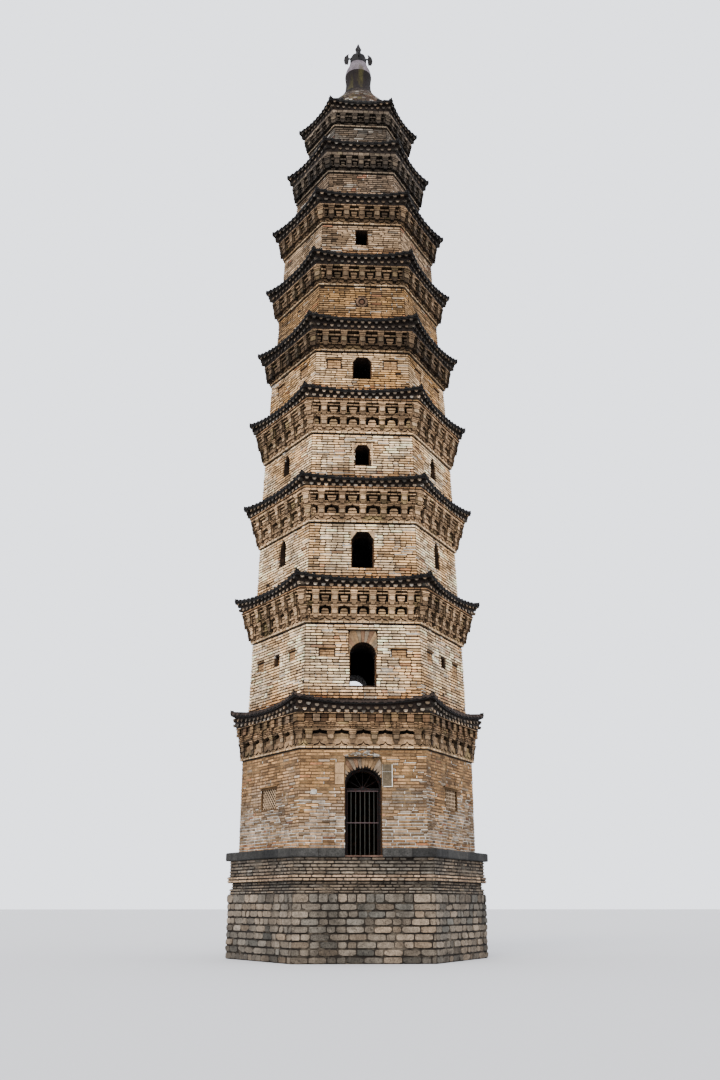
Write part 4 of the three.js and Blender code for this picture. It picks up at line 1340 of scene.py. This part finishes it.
def corner_ridge(tiles, axes, s):
    """The ridge on a corner, with a small upturned horn at its end."""
    rise = s.tip_rise
    ridge = [(s.eave - 0.035, s.edge + rise + 0.01, 0.028),
             (s.eave - 0.12, s.edge + rise * 0.72 + 0.02, 0.05)]
    ridge += [(o / APOTHEM, z + 0.03 + share * rise, 0.06) for o, z, share in roof_profile(s)[:2]]
    horn = [(s.eave - 0.1 + 0.085 * k, s.edge + rise * 0.95 + 0.02 + 0.035 * k**2, 0.044 - 0.024 * k)
            for k in (0, 0.25, 0.5, 0.75, 1)]
    for stops, turns, light in ((ridge, arc(6, -0.6, math.pi + 1.2), 0.8), (horn, circle(8), 0.7)):
        rings = [axes.outline(polar([(a, r) for a in turns], 0, z), o) for o, z, r in stops]
        tiles.loft(rings, shade(TILE_GREY, light), caps=True)


# Gate

GATE_OUT = storey(1).face - GATE_SET_BACK
PASSAGE = DOOR_WIDTH / 2 - 0.0003
FRAME_INSIDE = PASSAGE - GATE_FRAME
LEAF_HALF = FRAME_INSIDE - GATE_CLEARANCE
TRANSOM = DOOR_SPRING - GATE_FRAME
STILE, RAIL = 0.03, 0.022
RAY_RADIUS, BAR_RADIUS, PIN_RADIUS = 0.008, 0.0085, 0.009
BLACK_PAINT, BAR_PAINT, RED_PAINT = rgb("141212"), rgb("3a3c38"), rgb("57494a")


def make_gate():
    axes = SIDE_AXES[0]
    fixed, fan, leaf = Shape(), Shape(), Shape()

    def slice_of(shape, points, thick, tint=BLACK_PAINT, bevel=0.003):
        shape.prism(axes, points, GATE_OUT - thick / 2, GATE_OUT + thick / 2, tint, bevel, closed_back=True)

    def rod(shape, x0, z0, x1, z1, radius, tint=BLACK_PAINT):
        shape.rod((x0, -GATE_OUT, z0), (x1, -GATE_OUT, z1), radius, tint)

    for x0, x1 in ((-PASSAGE, -FRAME_INSIDE), (FRAME_INSIDE, PASSAGE)):
        slice_of(fixed, box(x0, x1, FLOOR, TRANSOM), GATE_FRAME)
    slice_of(fan, box(-PASSAGE, PASSAGE, TRANSOM, DOOR_SPRING), GATE_FRAME)
    for a0, a1 in parts(0, math.pi, 20):
        slice_of(fan, sector(a0, a1, FRAME_INSIDE, PASSAGE, DOOR_SPRING), GATE_FRAME, bevel=0.0)
    reach = PASSAGE - GATE_FRAME / 2
    for x, z in polar([(a, reach) for a in arc(GATE_RAYS + 1)[1:-1]], 0, DOOR_SPRING - 0.02):
        rod(fan, 0, TRANSOM + 0.02, x, z, RAY_RADIUS)
    slice_of(fan, polar([(a, 0.045) for a in arc(8)], 0, DOOR_SPRING - 0.004), 0.024, bevel=0.004)
    fixed.make("gate_frame_posts", GATE_PAINT, "gate_paint", replaces=["gate_post_left", "gate_post_right"])
    fan.make("gate_fanlight_bars", GATE_PAINT, "gate_paint", replaces=["gate_fanlight"])

    low, top = FLOOR + 0.02, TRANSOM - GATE_CLEARANCE
    for x0, x1 in ((-LEAF_HALF, -LEAF_HALF + STILE), (LEAF_HALF - STILE, LEAF_HALF)):
        slice_of(leaf, box(x0, x1, low, top), STILE)
    for z0, z1, tint in ((low, low + STILE, BLACK_PAINT), (top - RAIL, top, RED_PAINT),
                         (GATE_RAIL - RAIL / 2, GATE_RAIL + RAIL / 2, RED_PAINT)):
        slice_of(leaf, box(-LEAF_HALF + 0.001, LEAF_HALF - 0.001, z0, z1), STILE + 0.002, tint)
    for _, x in parts(-LEAF_HALF, LEAF_HALF, GATE_BARS + 1)[:-1]:
        rod(leaf, x, low + 0.01, x, top - 0.01, BAR_RADIUS, BAR_PAINT)
    hinge = -LEAF_HALF + STILE / 2
    for z0, z1 in ((FLOOR + 0.0005, low + 0.01), (top - 0.01, TRANSOM - 0.0005)):
        rod(leaf, hinge, z0, hinge, z1, PIN_RADIUS)
    leaf.make("gate_leaf_bars", GATE_PAINT, "gate_paint", replaces=["gate_leaf"], body="gate")


# Finial: profiles of (radius, level)

BELL_FOOT, COLLAR_FOOT, CAP_FOOT, FLAME_FOOT = 24.89, 25.64, 26.12, 26.61
FOOT_PROFILE = [(0.95, HIGHEST_ROOF_TOP), (0.93, 24.25), (0.805, 24.4), (0.64, 24.6), (0.515, 24.79),
                (0.463, BELL_FOOT)]
BELL_PROFILE = [(0.462, BELL_FOOT), (0.428, 25.0), (0.405, 25.1), (0.391, 25.2), (0.385, 25.3), (0.386, 25.4),
                (0.396, 25.5), (0.409, 25.6), (0.41, COLLAR_FOOT)]
COLLAR_PROFILE = [(0.411, COLLAR_FOOT), (0.403, 25.7), (0.394, 25.75), (0.384, 25.8), (0.37, 25.85),
                  (0.347, 25.9), (0.325, 25.95), (0.305, 26.0), (0.287, 26.05), (0.266, CAP_FOOT)]
CAP_PROFILE = [(0.268, CAP_FOOT), (0.27, 26.14), (0.253, 26.2), (0.257, 26.35), (0.246, 26.41), (0.21, 26.46),
               (0.161, 26.51), (0.114, 26.56), (0.08, FLAME_FOOT)]
CAP_RING = [(0.24, 26.15), (0.258, 26.155), (0.258, 26.185), (0.24, 26.19)]
FLAME_PROFILE = [(0.08, FLAME_FOOT), (0.078, 26.66), (0.083, 26.70), (0.102, 26.76), (0.095, 26.79),
                 (0.07, 26.84), (0.047, 26.9), (0.022, 26.97), (0.002, 27.0)]
BLADE_OUTER = [(0.415, 26.172), (0.43, 26.22), (0.447, 26.26), (0.44, 26.29), (0.455, 26.32), (0.446, 26.37),
               (0.44, 26.41), (0.42, 26.46), (0.385, 26.50), (0.345, 26.54), (0.296, 26.565)]
BLADE_INNER = [(0.312, 26.172), (0.31, 26.21), (0.303, 26.25), (0.298, 26.29), (0.295, 26.33), (0.296, 26.37),
               (0.296, 26.415), (0.302, 26.45), (0.31, 26.48), (0.306, 26.53), (0.294, 26.564)]
ARM = box(0.2, 0.322, 26.37, 26.415)
COAT_FACETS, CAP_FACETS, FLAME_FACETS = 48, 64, 32
FOOT_COURSE, FOOT_BRICK = 0.05, 0.13


def at_level(profile, level):
    for (r0, z0), (r1, z1) in zip(profile, profile[1:]):
        if z0 <= level <= z1:
            return r0 + (r1 - r0) * (level - z0) / (z1 - z0)
    return profile[-1][0]


def foot_tint(turn, up):
    """The foot's colour: grey on one side and rusty on the other, and dark as the bell at the top."""
    side = 0.5 + 0.5 * math.cos(turn + 0.6) + random.uniform(-0.3, 0.3)
    tint = shade(mix(mix(GREY, STONE, 0.6), mix(mix(TAN, RED, 0.7), GREY, 0.45), side), 0.31)
    tint = mix(tint, MOSS, random.uniform(-0.5, 0.35))
    if random.random() < 0.15:
        tint = mix(tint, LIME, random.uniform(0.1, 0.6))
    return shade(mix(tint, BELL_COAT, 1.2 * up - 0.2), random.uniform(0.4, 1.0))


def make_foot():
    """Rings of bricks, stepping in and up."""
    bricks = Shape()
    low, high = HIGHEST_ROOF_TOP, BELL_FOOT
    for z0, z1 in parts(low, high, round((high - low) / FOOT_COURSE)):
        r0, r1 = at_level(FOOT_PROFILE, z0 + 0.005), at_level(FOOT_PROFILE, z1 - 0.005)
        pieces = max(10, round(2 * math.pi * r0 / FOOT_BRICK))
        shift = random.random()
        for k in range(pieces):
            a0, a1 = (2 * math.pi * (k + shift + j) / pieces for j in (0.035, 0.965))
            proud = 0.01 + random.uniform(-0.006, 0.006)
            tint = foot_tint((a0 + a1) / 2, (z0 - low) / (high - low))
            rings = [[(x, y, z) for x, y in sector(a0, a1, r - 0.03, r + proud, 0)]
                     for r, z in ((r0, z0 + 0.005), (r1, z1 - 0.004))]
            bricks.loft(rings, tint, caps=True)
    bricks.make("finial_foot_bricks", BRICK, "wall_brick")


def make_finial():
    """The coats and the ironwork over the foot, with four curved blades on short arms."""
    bell, collar, crown, flame = Shape(), Shape(), Shape(), Shape()
    bell.turned(BELL_PROFILE, COAT_FACETS, BELL_COAT)
    collar.turned(COLLAR_PROFILE, COAT_FACETS, rgb("625a5e"))
    bell.make("finial_bell_coat", RENDER, "finial_render", replaces=["finial_bell"], smooth=35)
    collar.make("finial_collar_coat", RENDER, "finial_render", replaces=["finial_collar"], smooth=35)

    dark = rgb("0b0a0b")
    crown.turned(CAP_PROFILE, CAP_FACETS, dark, lobes=8, depth=0.06)
    crown.turned(CAP_RING, COAT_FACETS, dark)
    for axes in (Axes(0), Axes(90), Axes(180), Axes(270)):
        for a, b, c, d in zip(BLADE_INNER, BLADE_OUTER, BLADE_OUTER[1:], BLADE_INNER[1:]):
            crown.prism(axes, [a, b, c, d], -0.019, 0.019, dark, 0.004, closed_back=True)
        crown.prism(axes, ARM, -0.014, 0.014, dark, closed_back=True)
    crown.make("finial_crown_iron", IRON, "finial_iron", replaces=["finial_crown"], smooth=30)
    flame.turned(FLAME_PROFILE, FLAME_FACETS, rgb("131112"), lobes=4, depth=0.2)
    flame.make("finial_flame_iron", IRON, "finial_iron", replaces=["finial_flame"], smooth=30)


make_walls()
make_doorway()
make_base()
for each in STOREYS:
    make_cornice(each)
    make_rafters(each)
    make_roof(each)
    make_tiles(each)
make_gate()
make_foot()
make_finial()
show_cad("wall_", WALL_MORTAR)
show_cad("wall_1", GROUND_MORTAR)
show_cad("wall_8", HIGH_MORTAR)
show_cad("wall_9", HIGH_MORTAR)
show_cad("base_", BASE_MORTAR, but=["base_coping"])
show_cad("finial_foot", CORNICE_SHADE_MORTAR)

# Camera, floor and light

EYE = Vector((-1.361, -26.677, 1.18))
HEADING, PITCH = math.radians(3.04), math.radians(18.98)
SENSOR = 36
LENS = 1061.4 / 1080 * SENSOR


def put(name, data):
    thing = bpy.data.objects.new(name, data)
    bpy.context.scene.collection.objects.link(thing)
    return thing


def make_view():
    camera = put("camera", bpy.data.cameras.new("camera"))
    camera.data.lens, camera.data.sensor_width, camera.data.clip_end = LENS, SENSOR, 500
    camera.location = EYE
    camera.rotation_euler = Euler((math.pi / 2 + PITCH, 0, -HEADING))
    bpy.context.scene.camera = camera

    ground = bpy.data.meshes.new("floor")
    far = 300
    ground.from_pydata([(-far, -far, 0), (far, -far, 0), (far, far, 0), (-far, far, 0)], [], [(0, 1, 2, 3)])
    paving = Nodes("floor")
    ground.materials.append(paving.finish((0.45, 0.45, 0.46), 0.9))
    floor = put("floor", ground)

    world = bpy.data.worlds.new("sky")
    world.use_nodes = True
    sky = world.node_tree.nodes["Background"].inputs
    sky["Color"].default_value, sky["Strength"].default_value = (0.86, 0.89, 0.96, 1), 2.6
    bpy.context.scene.world = world

    sun = put("sun", bpy.data.lights.new("sun", "SUN"))
    sun.data.energy, sun.data.angle, sun.data.color = 3.4, math.radians(40), (1.0, 0.95, 0.88)
    sun.rotation_euler = Euler((math.radians(44), 0, math.radians(-16)))


make_view()
